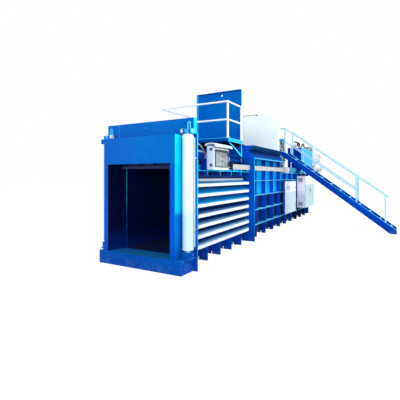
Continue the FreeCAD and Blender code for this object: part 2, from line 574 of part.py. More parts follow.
def stringer(name, x, inward):
    top = [("d.stairHead - 140", "d.stairTop"), ("d.stairHead", "d.stairTop"), ("d.stairFoot", 110)]
    bottom = [("d.stairFoot", 0), ("d.stairFoot - 165", 0), ("d.stairHead - 60", "d.stairTop - d.stringerDeep + 45"),
              ("d.stairHead - 140", "d.stairTop - d.stringerDeep + 45")]
    skin = profile(name + "Web", "YZ", (x, 0, 0), top + bottom, "d.stringerFlange")
    lid = "d.stringerWeb"
    hollow = [("d.stairHead - 150", "d.stairTop - 10"), ("d.stairHead - 4", "d.stairTop - 10"),
              ("d.stairFoot - 12", 106), ("d.stairFoot - 12", 10), ("d.stairFoot - 160", 10),
              ("d.stairHead - 62", "d.stairTop - d.stringerDeep + 57"),
              ("d.stairHead - 150", "d.stairTop - d.stringerDeep + 57")]
    shift = (x + " - 1") if inward < 0 else x + " + " + lid
    pocket = profile(name + "Pocket", "YZ", (shift, 0, 0), hollow, "d.stringerFlange - " + lid + " + 1")
    return skin, cut(name, skin, pocket)


def stair():
    far = "d.stairX + d.stairWide - d.stringerFlange"
    nearSkin, near = stringer("stringerNear", "d.stairX", 1)
    farSkin, other = stringer("stringerFar", far, -1)
    node(group("stringers", [mirror("stringerNearOut", near), mirror("stringerFarOut", other)]),
         "stair_stringers")
    treads = []
    count = int(num("d.treadCount"))
    for i in range(count):
        z = "(d.stairTop - %d * d.stairTop / (d.treadCount + 1))" % (i + 1)
        nose = "(d.stairHead + (d.stairTop - %s) * (d.stairFoot - d.stairHead) / (d.stairTop - 110))" % z
        treads.append(box("tread%d" % i, ("d.stairX + d.stringerFlange", "-" + nose, z + " - d.treadThick - 12"),
                          ("d.stairWide - 2 * d.stringerFlange", "d.treadDeep", "d.treadThick")))
    node(group("treads", treads), "stair_treads")
    top = "d.stairHead - 10"
    rails = []
    for tag, x, first, skin in (("near", "d.stairX + 24", "d.stairHead", nearSkin),
                                ("far", far + " + 26", "d.stairHead + 84", farSkin)):
        parts = []
        ends = []
        for i, y in enumerate((first, "2940", "3680")):
            parts.append(rod("%sPost%d" % (tag, i), "z", (x, "-(%s)" % y, stairLine(y) + " - 12"),
                             "d.railTube", "d.handrail + 12"))
            ends.append((x, "-(%s)" % y, stairLine(y) + " + d.handrail"))
        reach = "3765"
        tail = (x, "-" + reach, stairLine(reach) + " + d.handrail")
        head = (x, "-(%s)" % first, stairLine(first) + " + d.handrail")
        parts.append(tubeBetween(tag + "Handrail", head, tail, "d.railTube - 2"))
        parts.append(ball(tag + "HandrailEnd", tail, "d.railTube - 2"))
        parts.append(ball(tag + "HandrailKnee", head, "d.railTube"))
        if tag == "near":
            stub = (x, "-(%s - 150)" % top, "d.stairTop + d.handrail")
            parts.append(tubeBetween(tag + "Stub", (x, "-" + top, "d.stairTop + d.handrail"), stub, "d.railTube - 2"))
        drop = " - 425"
        parts.append(tubeBetween(tag + "MidRail", (head[0], head[1], head[2] + drop),
                                 (ends[1][0], ends[1][1], ends[1][2] + drop), "d.railTube - 5"))
        # the posts end flush on the stringer's top flange
        rails.append(cut(tag + "RailOnFlange", fuse(tag + "Rail", parts), mirror(tag + "SkinOut", skin)))
    node(group("stairRails", rails), "stair_rails")
    landing = [box("landingSheet", ("d.stairX", "-(d.stairHead - 140)", "d.stairTop - d.landingThick"),
                   ("d.landingEnd - d.stairX", "d.stairHead - 140 + 560", "d.landingThick"))]
    legs = [box("landingLeg%d" % i, (x, y, "d.tailTop"), (60, 60, "d.stairTop - d.landingThick - d.tailTop"))
            for i, (x, y) in enumerate((("d.stairX + 40", "-570"), ("d.landingEnd - 100", "-570"),
                                        ("d.stairX + 40", "480"), ("d.landingEnd - 100", "480")))]
    node(fuse("landing", landing + legs), "stair_landing")


def shell(name, at, size, wall):
    # an open-fronted cabinet: the front is towards -Y
    block = box(name + "Block", at, size)
    inner = [at[0] + " + " + wall, at[1] + " - 1", at[2] + " + " + wall]
    space = [size[0] + " - 2 * " + wall, size[1] + " - " + wall + " + 1", size[2] + " - 2 * " + wall]
    return cut(name, block, box(name + "Space", inner, space))


def controlBox():
    low = "d.railTop + 10"
    face = "-(d.boxNear + d.boxDeep)"
    node(shell("controlShell", ("d.boxFront", face, low), ("d.boxWide", "d.boxDeep", "d.boxHigh"), "d.boxSheet"),
         "control_box")
    foot = fuse("controlFoot", [
        box("controlFootPlate", ("d.boxFront + 60", "-d.boxNear - 80", "d.railTop"), ("d.boxWide - 120", 260, 10)),
        box("controlFootPad", ("d.boxFront + 200", "-d.wallOuter - 100", "d.railTop"), ("d.boxWide - 400", 100, 10))])
    trayFeet = [box("trayFoot%d" % i, ("2300 + %d" % (i * 420), "-785", "d.railTop"),
                    (40, 40, "d.trayLow - d.railTop")) for i in range(3)]
    hangers = [box("hanger%d" % i, ("d.ribStart + %d * d.ribPitch" % i, "-d.cabinetNear", "d.cabinetLow + 900"),
                   ("d.ribThick", "d.cabinetNear - d.ribOuter", 60)) for i in (6, 7)]
    node(group("sideBrackets", [foot] + trayFeet + hangers), "side_brackets")
    # rain roof: a folded sheet that falls towards the operator
    node(profile("controlRoof", "YZ", ("d.boxFront - 45", 0, low + " + d.boxHigh"), [
        ("-d.boxNear + 20", 0), ("-d.boxNear - d.boxDeep - 70", 0), ("-d.boxNear - d.boxDeep - 78", -30),
        ("-d.boxNear - d.boxDeep - 82", -26), ("-d.boxNear - d.boxDeep - 74", 14), ("-d.boxNear + 20", 40)],
        "d.boxWide + 90"), "control_box_roof")
    node(box("controlPlate", ("d.boxFront + d.boxSheet", face + " + 40", low + " + d.boxSheet"),
             ("d.boxWide - 2 * d.boxSheet", 8, "d.boxHigh - 2 * d.boxSheet")), "control_panel")
    node(roundedScreen(low, face), "operator_screen")
    door = box("controlDoorBlock", ("d.boxFront", face + " - d.doorThick - d.seat", low),
               ("d.boxWide", "d.doorThick", "d.boxHigh - 32"))
    pane = ("d.boxFront + 66", "d.boxWide - 90", low + " + 56", "d.boxHigh - 56 - 32 - 34")
    window = box("controlWindowHole", (pane[0], face + " - d.doorThick - 2", pane[2]), (pane[1], "d.doorThick + 4", pane[3]))
    node(cut("controlDoor", door, window), "control_box_door")
    node(box("controlGlass", (pane[0], face + " - d.doorThick - d.seat", pane[2]), (pane[1], 6, pane[3])),
         "control_box_window")
    for i, z in enumerate((120, 300)):
        node(fuse("lock%d" % i, [
            rod("lock%dBarrel" % i, "y", ("d.boxFront + d.boxWide - 55", face + " - d.doorThick - 8 - d.seat",
                                         low + " + %d" % z), 11, 8),
            box("lock%dWing" % i, ("d.boxFront + d.boxWide - 59", face + " - d.doorThick - 16 - d.seat",
                                   low + " + %d - 16" % z), (8, 8, 32))]),
             "door_lock_%s" % ("lower" if i == 0 else "upper"))


def roundedScreen(low, face):
    return roundedBox("screenBody", ("d.boxFront + 130", face + " + 22", low + " + 110"), (260, 18, 230), 6)


def sideCabinets():
    face = "-(d.beltOuter + d.sideBoxDeep)"
    node(shell("sideShell", ("d.sideBoxX", face, "d.sideBoxLow"), ("d.sideBoxWide", "d.sideBoxDeep", "d.sideBoxHigh"),
               "d.boxSheet"), "side_cabinet")
    node(box("sideDoor", ("d.sideBoxX", face + " - d.doorThick - d.seat", "d.sideBoxLow"),
             ("d.sideBoxWide", "d.doorThick", "d.sideBoxHigh")), "side_cabinet_door")
    face = "-(d.cabinetNear + d.cabinetDeep)"
    body = shell("cabinetShell", ("d.cabinetX", face, "d.cabinetLow"),
                 ("d.cabinetWide", "d.cabinetDeep", "d.cabinetHigh"), "d.boxSheet")
    # two louvred grilles in the end that faces the mouth
    slots = []
    for row, z in enumerate(("d.cabinetLow + 60", "d.cabinetLow + d.cabinetHigh - 200")):
        for i in range(6):
            slots.append(box("slot%d%d" % (row, i), ("d.cabinetX - 1", face + " + 100", z + " + %d" % (i * 24)),
                             ("d.boxSheet + 2", 150, 10)))
    node(cut("cabinet", body, fuse("cabinetSlots", slots)), "electric_cabinet")
    leaf = "(d.cabinetWide / 2 - 1)"
    for i, (tag, x) in enumerate((("front", "d.cabinetX"), ("rear", "d.cabinetX + d.cabinetWide / 2 + 1"))):
        node(box("cabinetDoor%d" % i, (x, face + " - d.doorThick - d.seat", "d.cabinetLow"),
                 (leaf, "d.doorThick", "d.cabinetHigh")), "electric_door_" + tag)
    node(fuse("handle", [
        rod("handleHub", "y", ("d.cabinetX + d.cabinetWide / 2 - 40", face + " - d.doorThick - 12 - d.seat",
                               "d.cabinetLow + 600"), 16, 12),
        box("handleBar", ("d.cabinetX + d.cabinetWide / 2 - 50", face + " - d.doorThick - 24 - d.seat",
                          "d.cabinetLow + 590"), (20, 12, 110))]), "electric_door_handle")
    node(group("trays", [
        box("trayFront", (2260, "-795", "d.trayLow"), ("d.channelEnd - 2260", 60, "d.trayHigh")),
        box("trayRear", ("d.channelEnd + d.plateThick", "-d.ribOuter - 66", "d.trayLow"),
            (3140, 66, "d.trayHigh"))]), "cable_trays")


def powerPack():
    beams = [box("packBeam%d" % i, ("d.tankX - 60", y, "d.tailTop"), ("d.packDeckEnd - d.tankX + 60", 80, 80))
             for i, y in enumerate(("-d.tankFar + 20", "-500", "300"))]
    beams += [box("packCross%d" % i, (x, "-d.tankFar + 100", "d.tailTop"), (80, "d.tankFar + 200 - 0", 80))
              for i, x in enumerate(("d.tankX - 60", "d.tailEnd - 60", "d.packDeckEnd - 80"))]
    beams.append(box("packShelf", ("d.tailEnd", "-d.coolerY - 120", "d.tailTop + 80 - 12"),
                     ("d.packDeckEnd - d.tailEnd", "d.coolerY + 120 - 420", 12)))
    node(fuse("packFrame", beams), "power_pack_frame")
    tank = roundedBox("tankBody", ("d.tankX", "-d.tankFar", "d.tankLow"),
                      ("d.tankLong", "d.tankFar - d.tankNear", "d.tankTop - d.tankLow"), 25)
    node(tank, "oil_tank")
    cap = fuse("tankCaps", [
        rod("breather", "z", ("d.tankX + 160", "-d.tankNear - 160", "d.tankTop"), 55, 110),
        rod("returnFilter", "z", ("d.tankX + 420", "-d.tankNear - 150", "d.tankTop"), 80, 150),
        rod("breatherStem", "z", ("d.tankX + 160", "-d.tankNear - 160", "d.tankTop"), 75, 16),
        rod("filterFlange", "z", ("d.tankX + 420", "-d.tankNear - 150", "d.tankTop"), 110, 20)])
    node(cap, "tank_caps")
    back = "d.tankX + d.tankLong"
    node(fuse("motor", [
        rod("motorFlange", "x", (back, "-d.motorY", "d.motorZ"), "d.motorRadius + 20", 30),
        rod("motorBody", "x", (back + " + 30", "-d.motorY", "d.motorZ"), "d.motorRadius - 15", "d.motorLong - 170"),
        rod("motorCowl", "x", (back + " + d.motorLong - 140", "-d.motorY", "d.motorZ"), "d.motorRadius", 140),
        box("motorTerminal", (back + " + 180", "-d.motorY - 90", "d.motorZ + d.motorRadius - 40"), (200, 180, 110)),
        box("motorFootA", (back + " + 80", "-d.motorY - 180", "d.tailTop + 80"), (40, 60, "d.motorZ - d.tailTop - 80")),
        box("motorFootB", (back + " + 80", "-d.motorY + 120", "d.tailTop + 80"), (40, 60, "d.motorZ - d.tailTop - 80"))]),
        "pump_motor")
    node(fuse("cooler", [
        rod("coolerShell", "x", (back + " + 140", "-d.coolerY", "d.coolerZ"), "d.coolerRadius", "d.coolerLong - 100"),
        rod("coolerEndA", "x", (back + " + 125", "-d.coolerY", "d.coolerZ"), "d.coolerRadius + 12", 40),
        rod("coolerEndB", "x", (back + " + d.coolerLong", "-d.coolerY", "d.coolerZ"), "d.coolerRadius + 12", 40),
        box("coolerFootA", (back + " + 260", "-d.coolerY - 60", "d.tailTop + 80"), (50, 120, "d.coolerZ - d.tailTop - 80 - 60")),
        box("coolerFootB", (back + " + 1000", "-d.coolerY - 60", "d.tailTop + 80"), (50, 120, "d.coolerZ - d.tailTop - 80 - 60"))]),
        "oil_cooler")
    # small circulation motor on the chamber's edge, above the side cabinet
    smallMotor = fuse("smallMotor", [
        rod("smallMotorBody", "x", ("d.sideBoxX + 760", -690, "d.tailTop + 112"), 84, 820),
        rod("smallMotorCowl", "x", ("d.sideBoxX + 1580", -690, "d.tailTop + 112"), 92, 180),
        box("smallMotorFoot", ("d.sideBoxX + 900", -750, "d.tailTop"), (420, 120, 60))])
    smallPump = fuse("smallPump", [
        roundedBox("smallPumpBlock", ("d.sideBoxX + 200", -770, "d.tailTop"), (430, 160, 196), 12),
        rod("smallPumpNeck", "x", ("d.sideBoxX + 630", -690, "d.tailTop + 112"), 60, 130)])
    node(group("circulationSet", [smallMotor, smallPump]), "circulation_pump")
    body = [box("valveBlock", ("d.sideBoxX + 20", -690, "d.stairTop - 300"), (170, 160, 250))]
    for i in range(3):
        body.append(rod("solenoid%d" % i, "y", ("d.sideBoxX + 105", -790, "d.stairTop - 250 + %d" % (i * 75)), 28, 100))
    manifold = box("manifold", (1230, 614, "d.railTop + 10"), (190, 86, 230))
    node(group("valveBlocks", [fuse("valves", body), manifold, mirror("manifoldMirror", manifold)]),
         "valve_blocks")
    # the hoses screw on the ends of the barrels' two ports
    x, y = num("d.tieX + d.tieRadius + 25 + d.seat"), num("d.tieY")
    tieHoses = [
        pipe("tieHoseHigh", [(x, y, 2179), (560, y, 2179), (1270, 657, 2060), (1270, 657, 1956.3)], 13, 60),
        pipe("tieHoseLow", [(x, y, 2040), (560, y, 2040), (1370, 657, 2030), (1370, 657, 1956.3)], 13, 60)]
    tieHoses += [mirror(part.Name + "Mirror", part) for part in tieHoses]
    node(group("hoses", tieHoses + [
        pipe("hoseLow", [(6485, -610, 2089.7), (6485, -610, 1990), (6690, -690, 1990), (6690, -690, 1916.3)], 17, 50),
        pipe("hoseTank", [(8410, -540, 2800.3), (8410, -540, 2870), (8150, -540, 2870), (8150, -540, 1720.3)], 17, 60),
        pipe("hoseFilter", [(8670, -530, 2840.3), (8670, -530, 2930), (9180, -560, 2930), (9180, -560, 2690.3)], 20, 70),
        pipe("hoseCross", [(8960, -700, 2690.3), (8960, -700, 2890), (9560, -700, 2890), (9560, -700, 2690.3)], 17, 80),
        pipe("hoseMotor", [(9700, -850, 2690.3), (9700, -850, 2770), (10520, -850, 2770), (10520, -850, 2720.3)], 20, 50)]),
        "oil_hoses")


fillSheet()
mouthFrame()
tieCylinders()
crossHead()
topFlap()
channelSide()
floorsAndFeet()
chamberSide()
hopper()
ram()
walkway()
walkwayRails()
stair()
controlBox()
sideCabinets()
powerPack()
doc.recompute()

for item in doc.Objects:
    if "Invalid" in item.State or "Error" in item.State:
        raise RuntimeError("not built: " + item.Name + " " + str(item.State))
for item in nodes:
    if item.Shape.isNull() or not item.Shape.isValid():
        raise RuntimeError("bad shape: " + item.Label)
os.makedirs("parts", exist_ok=True)
for item in nodes:
    item.Shape.exportStep("parts/" + item.Label + ".step")
print(len(nodes), "nodes written")
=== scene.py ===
import bmesh
import bpy
import math
import numpy as np
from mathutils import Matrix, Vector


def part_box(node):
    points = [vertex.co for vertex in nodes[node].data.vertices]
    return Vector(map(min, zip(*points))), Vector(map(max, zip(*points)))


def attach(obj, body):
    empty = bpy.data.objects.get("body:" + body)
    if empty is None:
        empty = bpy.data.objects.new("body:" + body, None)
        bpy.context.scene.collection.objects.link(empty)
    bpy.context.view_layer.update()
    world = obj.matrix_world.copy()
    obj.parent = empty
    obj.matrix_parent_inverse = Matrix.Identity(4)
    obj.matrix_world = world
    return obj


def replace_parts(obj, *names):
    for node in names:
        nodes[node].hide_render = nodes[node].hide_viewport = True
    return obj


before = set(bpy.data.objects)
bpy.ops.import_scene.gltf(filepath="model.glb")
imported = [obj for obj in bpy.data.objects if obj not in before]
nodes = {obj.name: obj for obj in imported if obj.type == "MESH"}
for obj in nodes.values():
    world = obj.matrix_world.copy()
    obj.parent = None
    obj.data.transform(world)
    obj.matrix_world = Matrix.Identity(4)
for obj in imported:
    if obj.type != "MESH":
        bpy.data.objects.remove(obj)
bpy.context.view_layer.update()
print("frame loaded:", len(nodes), "CAD pieces")


class Wire:
    # A socket that can be used in sums, products and quotients: each one adds a Math node.
    def __init__(self, graph, socket):
        self.graph = graph
        self.socket = socket

    def math(self, operation, *others):
        return self.graph.make("ShaderNodeMath", {"operation": operation}, [self, *others])

    def __add__(self, other):
        return self.math("ADD", other)

    def __sub__(self, other):
        return self.math("SUBTRACT", other)

    def __rsub__(self, other):
        return self.graph.make("ShaderNodeMath", {"operation": "SUBTRACT"}, [other, self])

    def __mul__(self, other):
        return self.math("MULTIPLY", other)

    def __truediv__(self, other):
        return self.math("DIVIDE", other)

    def __rtruediv__(self, other):
        return self.graph.make("ShaderNodeMath", {"operation": "DIVIDE"}, [other, self])

    def __abs__(self):
        return self.math("ABSOLUTE")

    __radd__, __rmul__ = __add__, __mul__

    def ramp(self, low, high, start=0.0, end=1.0):
        # an S-shaped rise from start to end while the value goes from low to high
        return self.graph.make("ShaderNodeMapRange", {"interpolation_type": "SMOOTHSTEP"},
                               {"Value": self, "From Min": low, "From Max": high, "To Min": start, "To Max": end})


class Graph:
    # One node tree: make() adds any node, and plug() fills a socket with a value or a link.
    def __init__(self, owner, outKind):
        owner.use_nodes = True
        self.tree = owner.node_tree
        self.tree.nodes.clear()
        self.surface = self.tree.nodes.new(outKind).inputs["Surface"]

    def make(self, kind, settings=None, inputs=(), out=0):
        node = self.tree.nodes.new(kind)
        for key, value in (settings or {}).items():
            setattr(node, key, value)
        for key, value in inputs.items() if isinstance(inputs, dict) else enumerate(inputs):
            self.plug(node.inputs[key], value)
        return Wire(self, node.outputs[out])

    def plug(self, socket, value):
        if isinstance(value, Wire):
            self.tree.links.new(value.socket, socket)
        else:
            socket.default_value = (*linear(value), 1) if socket.type == "RGBA" else value


class Finish(Graph):
    # One material: a Principled shader, and shorter calls for the nodes that feed it.
    def __init__(self, name):
        self.mat = bpy.data.materials.new(name)
        super().__init__(self.mat, "ShaderNodeOutputMaterial")
        self.skin = self.tree.nodes.new("ShaderNodeBsdfPrincipled")
        self.tree.links.new(self.skin.outputs[0], self.surface)

    def split(self, vector):
        # the three numbers of a vector as separate wires
        node = self.make("ShaderNodeSeparateXYZ", inputs=[vector]).socket.node
        return [Wire(self, socket) for socket in node.outputs]

    def place(self):
        return self.make("ShaderNodeTexCoord", out="Object")

    def axes(self):
        return self.split(self.place())

    def facing(self):
        # the surface direction in the object's own axes, so that it turns with a moving piece
        turn = self.make("ShaderNodeVectorTransform",
                         {"vector_type": "NORMAL", "convert_from": "WORLD", "convert_to": "OBJECT"},
                         [self.make("ShaderNodeNewGeometry", out="Normal")])
        return self.split(turn)

    def noise(self, scale, detail=3, stretch=(1, 1, 1)):
        spot = self.make("ShaderNodeMapping", inputs={"Vector": self.place(), "Scale": stretch})
        return self.make("ShaderNodeTexNoise",
                         inputs={"Vector": spot, "Scale": scale, "Detail": detail, "Roughness": 0.55})

    def blend(self, factor, first, second):
        return self.make("ShaderNodeMix", {"data_type": "RGBA"}, {"Factor": factor, 6: first, 7: second}, out=2)

    def over(self, colour, *coats):
        # each coat is (mask, colour) and is laid over the ones before it
        for mask, coat in coats:
            colour = self.blend(mask, colour, coat)
        return colour

    def bump(self, height, strength, distance):
        return self.make("ShaderNodeBump", inputs={"Strength": strength, "Distance": distance, "Height": height})

    def set(self, **values):
        for key, value in values.items():
            self.plug(self.skin.inputs[key.replace("_", " ")], value)
        return self.mat


def linear(colour):
    # A colour in whole numbers is sRGB levels of 0 to 255, one in fractions is linear as a shader takes it.
    if not all(isinstance(level, int) for level in colour):
        return tuple(colour)
    levels = np.array(colour) / 255
    return tuple(np.where(levels <= 0.04045, levels / 12.92, ((levels + 0.055) / 1.055) ** 2.4))


def scaled(colour, share):
    # Each linear level of a colour times a share.
    return tuple(share * level for level in linear(colour))


# A form is (points, list of face-number arrays).
planes = {"x": (1, 2, 0), "y": (2, 0, 1), "z": (0, 1, 2)}


def join(*forms):
    # Several forms as one: each form's face numbers move up by the points before it.
    starts = np.cumsum([0] + [len(form[0]) for form in forms[:-1]])
    return (np.concatenate([form[0] for form in forms]),
            [block + start for form, start in zip(forms, starts) for block in form[1]])


def skin(rings, closed=False):
    # Rings of equal length joined by four-sided faces: with a flat cap at each end, or closed into a loop.
    rings = np.asarray(rings, float)
    count, around = rings.shape[:2]
    whole, last, turn = count * around, (count - 1) * around, np.arange(around)
    start = np.arange(0, whole if closed else last, around)[:, None]
    corner, beside = start + turn, start + np.roll(turn, -1)
    faces = [np.stack([corner, beside, (beside + around) % whole, (corner + around) % whole], -1).reshape(-1, 4)]
    if not closed:
        faces += [turn[None, ::-1], last + turn[None]]
    return rings.reshape(-1, 3), faces


def lift(flat, axis, level):
    # An outline's (u, v) pairs as points at one level of an axis; u, v and the axis are right-handed.
    flat = np.asarray(flat, float)
    points = np.empty((len(flat), 3))
    first, second, along = planes[axis]
    points[:, first], points[:, second], points[:, along] = flat[:, 0], flat[:, 1], level
    return points


def inset(flat, reach):
    # Each corner moves inward along the mean of its two sides' inward directions, for sides that stay parallel.
    flat = np.asarray(flat, float)
    side = np.roll(flat, -1, 0) - flat
    side /= np.linalg.norm(side, axis=1)[:, None]
    inward = np.stack([-side[:, 1], side[:, 0]], 1)
    both = inward + np.roll(inward, 1, 0)
    both /= (both * inward).sum(1)[:, None]
    return flat + both * reach


def plate(flat, axis, low, high, edge=0.003):
    # An outline (anticlockwise) drawn out along an axis, with a chamfer at both rims.
    trimmed = inset(flat, edge)
    return skin([lift(trimmed, axis, low), lift(flat, axis, low + edge), lift(flat, axis, high - edge),
                 lift(trimmed, axis, high)])


def roundRect(u0, v0, u1, v1, radius, steps=3):
    # A rectangle with quarter-circle corners: centre plus radius times cosine and sine of the turn.
    turns = np.linspace(0, np.pi / 2, steps + 1)
    corners = ((u1 - radius, v1 - radius, 0), (u0 + radius, v1 - radius, 1), (u0 + radius, v0 + radius, 2),
               (u1 - radius, v0 + radius, 3))
    return np.concatenate([np.stack([u + radius * np.cos(turns + quarter * np.pi / 2),
                                     v + radius * np.sin(turns + quarter * np.pi / 2)], 1)
                           for u, v, quarter in corners])


def roundPlate(u0, v0, u1, v1, radius, axis, low, high, edge=0.003):
    # A chamfered plate whose outline is a rectangle with quarter-circle corners.
    return plate(roundRect(u0, v0, u1, v1, radius), axis, low, high, edge)


def slab(low, high, edge=0.004):
    # A block with chamfered edges between two opposite corners.
    (x0, y0, z0), (x1, y1, z1) = low, high
    edge = min(edge, 0.3 * min(x1 - x0, y1 - y0, z1 - z0))
    return plate([(x0, y0), (x1, y0), (x1, y1), (x0, y1)], "z", z0, z1, edge)


def border(outer, inner, axis, low, high):
    # A flat frame between two outlines of equal count, drawn out along an axis: a closed loop of four sides.
    return skin([lift(inner, axis, low), lift(outer, axis, low), lift(outer, axis, high), lift(inner, axis, high)],
                closed=True)


def doorRim(z0, x0, z1, x1, face):
    # A raised frame round the edge of a door in the XZ plane.
    outer = roundRect(z0, x0, z1, x1, 0.01)
    return border(outer, inset(outer, 0.012), "y", face - 0.004, face + 0.001)


def evenTurns(count, start=0.0):
    # Turn i is i whole circles over the count, plus the start, in radians.
    return np.arange(count) * 2 * np.pi / count + start


def onCircle(centre, axis, radius, turns, rise=0.0):
    # Points round an axis: centre plus radius times cosine and sine of each turn, at a rise along the axis.
    first, second, along = planes[axis]
    flat = np.stack([centre[first] + radius * np.cos(turns), centre[second] + radius * np.sin(turns)], 1)
    return lift(flat, axis, centre[along] + rise)


def turned(profile, centre, axis, sides=24, closed=False):
    # A turned form: at each (distance, radius) of the profile, a circle square to the axis.
    turns = evenTurns(sides)
    return skin([onCircle(centre, axis, max(radius, 1e-4), turns, distance) for distance, radius in profile], closed)


def ring(centre, axis, inner, outer, low, high, sides=32, edge=0.003):
    # A turned ring: its section is a rectangle with two chamfers, closed round the bore.
    section = ((low, inner), (low, outer - edge), (low + edge, outer), (high - edge, outer), (high, outer - edge),
               (high, inner))
    return turned(section, centre, axis, sides, closed=True)


def finned(centre, outer, inner, fins, end):
    # A finned barrel along X: its section is a circle whose radius steps out at each fin.
    turns = evenTurns(fins * 4)
    radii = np.where(np.arange(fins * 4) % 4 < 2, outer, inner)
    return skin([onCircle(centre, "x", radii, turns, rise) for rise in (0.0, end)])


def repeated(form, spots):
    # The same form at many spots: every point plus every spot, in one step.
    points, faces = form
    spots = np.asarray(spots, float)
    moved = (points[None] + spots[:, None]).reshape(-1, 3)
    starts = np.arange(len(spots)) * len(points)
    return moved, [(block[None] + starts[:, None, None]).reshape(-1, block.shape[1]) for block in faces]


def bolts(axis, size, sign, spots):
    # Hexagon bolts: a washer under a six-sided head with a chamfered top; sign points the heads along the axis.
    washer = turned(((0, 1.05 * size), (0.12 * size * sign, 1.05 * size)), (0, 0, 0), axis, 12)
    head = turned(((0.12 * size * sign, 0.9 * size), (0.62 * size * sign, 0.9 * size),
                   (0.74 * size * sign, 0.72 * size)), (0, 0, 0), axis, 6)
    return repeated(join(washer, head), spots)


def tube(path, radius, sides=12):
    # A circle carried along a path: at each point it stands square to the mean direction, and its
    # first axis is the last one with the part along the new direction taken off.
    path = np.asarray(path, float)
    ways = np.gradient(path, axis=0)
    ways /= np.linalg.norm(ways, axis=1)[:, None]
    across = np.cross(ways[0], (0.31, 0.17, 0.94) if abs(ways[0][2]) < 0.9 else (0.94, 0.31, 0.17))
    turns = evenTurns(sides)
    rings = []
    for spot, way, reach in zip(path, ways, np.broadcast_to(radius, len(path))):
        across = across - way * across.dot(way)
        across /= np.linalg.norm(across)
        other = np.cross(way, across)
        rings.append(spot + reach * (np.cos(turns)[:, None] * across + np.sin(turns)[:, None] * other))
    return skin(rings)


def rod(start, end, count, radius, sides=8):
    # A straight tube through count points spread evenly from start to end.
    return tube(np.linspace(start, end, count), radius, sides)


def flowing(points, steps=6):
    # A smooth path by a cubic B-spline: each stretch weighs four points by the spline's four cubics in t.
    points = np.asarray(points, float)
    held = np.concatenate([points[:1], points[:1], points, points[-1:], points[-1:]])
    t = np.linspace(0, 1, steps, endpoint=False)[:, None]
    weights = ((1 - t) ** 3 / 6, (3 * t ** 3 - 6 * t ** 2 + 4) / 6, (-3 * t ** 3 + 3 * t ** 2 + 3 * t + 1) / 6,
               t ** 3 / 6)
    stretches = [sum(weight * held[i + j] for j, weight in enumerate(weights)) for i in range(len(held) - 3)]
    return np.concatenate(stretches + [points[-1:]])


def beads(runs, radius):
    # Weld beads, one for each row of start and end: a seven-sided tube whose radius swells and shrinks
    # by a sine along its run.
    forms = []
    for row in runs:
        start, end = np.array(row[:3], float), np.array(row[3:], float)
        count = max(4, int(np.linalg.norm(end - start) / 0.09))
        forms.append(rod(start, end, count, radius * (1 + 0.12 * np.sin(np.arange(count) * 2.4)), 7))
    return join(*forms)


def stood(form, spot):
    # A plate made flat, stood up to face -Y: Y and Z change places, and the thickness runs outward.
    points, faces = form
    return points[:, [0, 2, 1]] * (1, -1, 1) + spot, faces


def piece(name, finish, *forms, body="machine", slot=None, smoothAngle=38, both=False):
    # One object from its forms: faces outward, shaded smooth except at sharp corners, riding on its body.
    # With both, the forms also stand reflected in the middle plane, each point's Y with its sign changed.
    points, faces = join(*forms)
    if both:
        points, faces = join((points, faces), (points * (1, -1, 1), faces))
    mesh = bpy.data.meshes.new(name)
    mesh.from_pydata(points.tolist(), [], [row for block in faces for row in block.tolist()])
    mesh.materials.append(finishes[finish])
    tool = bmesh.new()
    tool.from_mesh(mesh)
    bmesh.ops.recalc_face_normals(tool, faces=tool.faces)
    tool.to_mesh(mesh)
    tool.free()
    mesh.shade_smooth()
    mesh.set_sharp_from_angle(angle=math.radians(smoothAngle))
    obj = bpy.data.objects.new(name, mesh)
    bpy.context.scene.collection.objects.link(obj)
    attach(obj, body)
    return obj


print("helpers ready")

glossTint = (0.02, 0.45, 1.0)
# Enamel colours by facing and height: the side colour is a painted sunlit cyan, the low side colour a painted shade
# below the change height, the top colour a painted pale reflection, the under and floor colours painted shade; the end
# colours are the enamel's own blue.
paintLook = {
    "end": (0, 100, 180), "endDeep": (0, 84, 174), "side": (0, 212, 252), "sideLow": (2, 92, 205),
    "top": (40, 160, 230), "under": (1, 40, 112), "change": (0.93, 1.06), "floorShade": (0, 44, 138),
}


def enamelCoat(f, colour, rough, level=0.12):
    # Gloss over paint: orange-peel bump, roughness that varies with spray clouds and fine grain.
    return f.set(Base_Color=colour, Roughness=f.noise(11, 5) * 0.18 + f.noise(1.1) * 0.1 + (rough - 0.14),
                 Normal=f.bump(f.noise(150, 2), 0.05, 0.002), Specular_IOR_Level=level, Specular_Tint=glossTint)


def wearMarks(f, colour, z, dirt, pale):
    # Thin scuffs where a stretched noise passes a high level, chips near the floor, and a little dust.
    scuff = f.noise(26, 3, (1, 1, 9)).ramp(0.69, 0.73) * f.noise(2.3, 2).ramp(0.5, 0.62)
    chips = f.noise(48, 2).ramp(0.7, 0.73) * z.ramp(0.34, 0.02)
    dust = z.ramp(0.22, 0.0) * f.noise(7, 4).ramp(0.42, 0.72)
    return f.over(colour, (scuff * (0.35 * dirt), pale), (chips * (0.8 * dirt), (70, 66, 66)),
                  (dust * (0.12 * dirt), (132, 150, 170)))


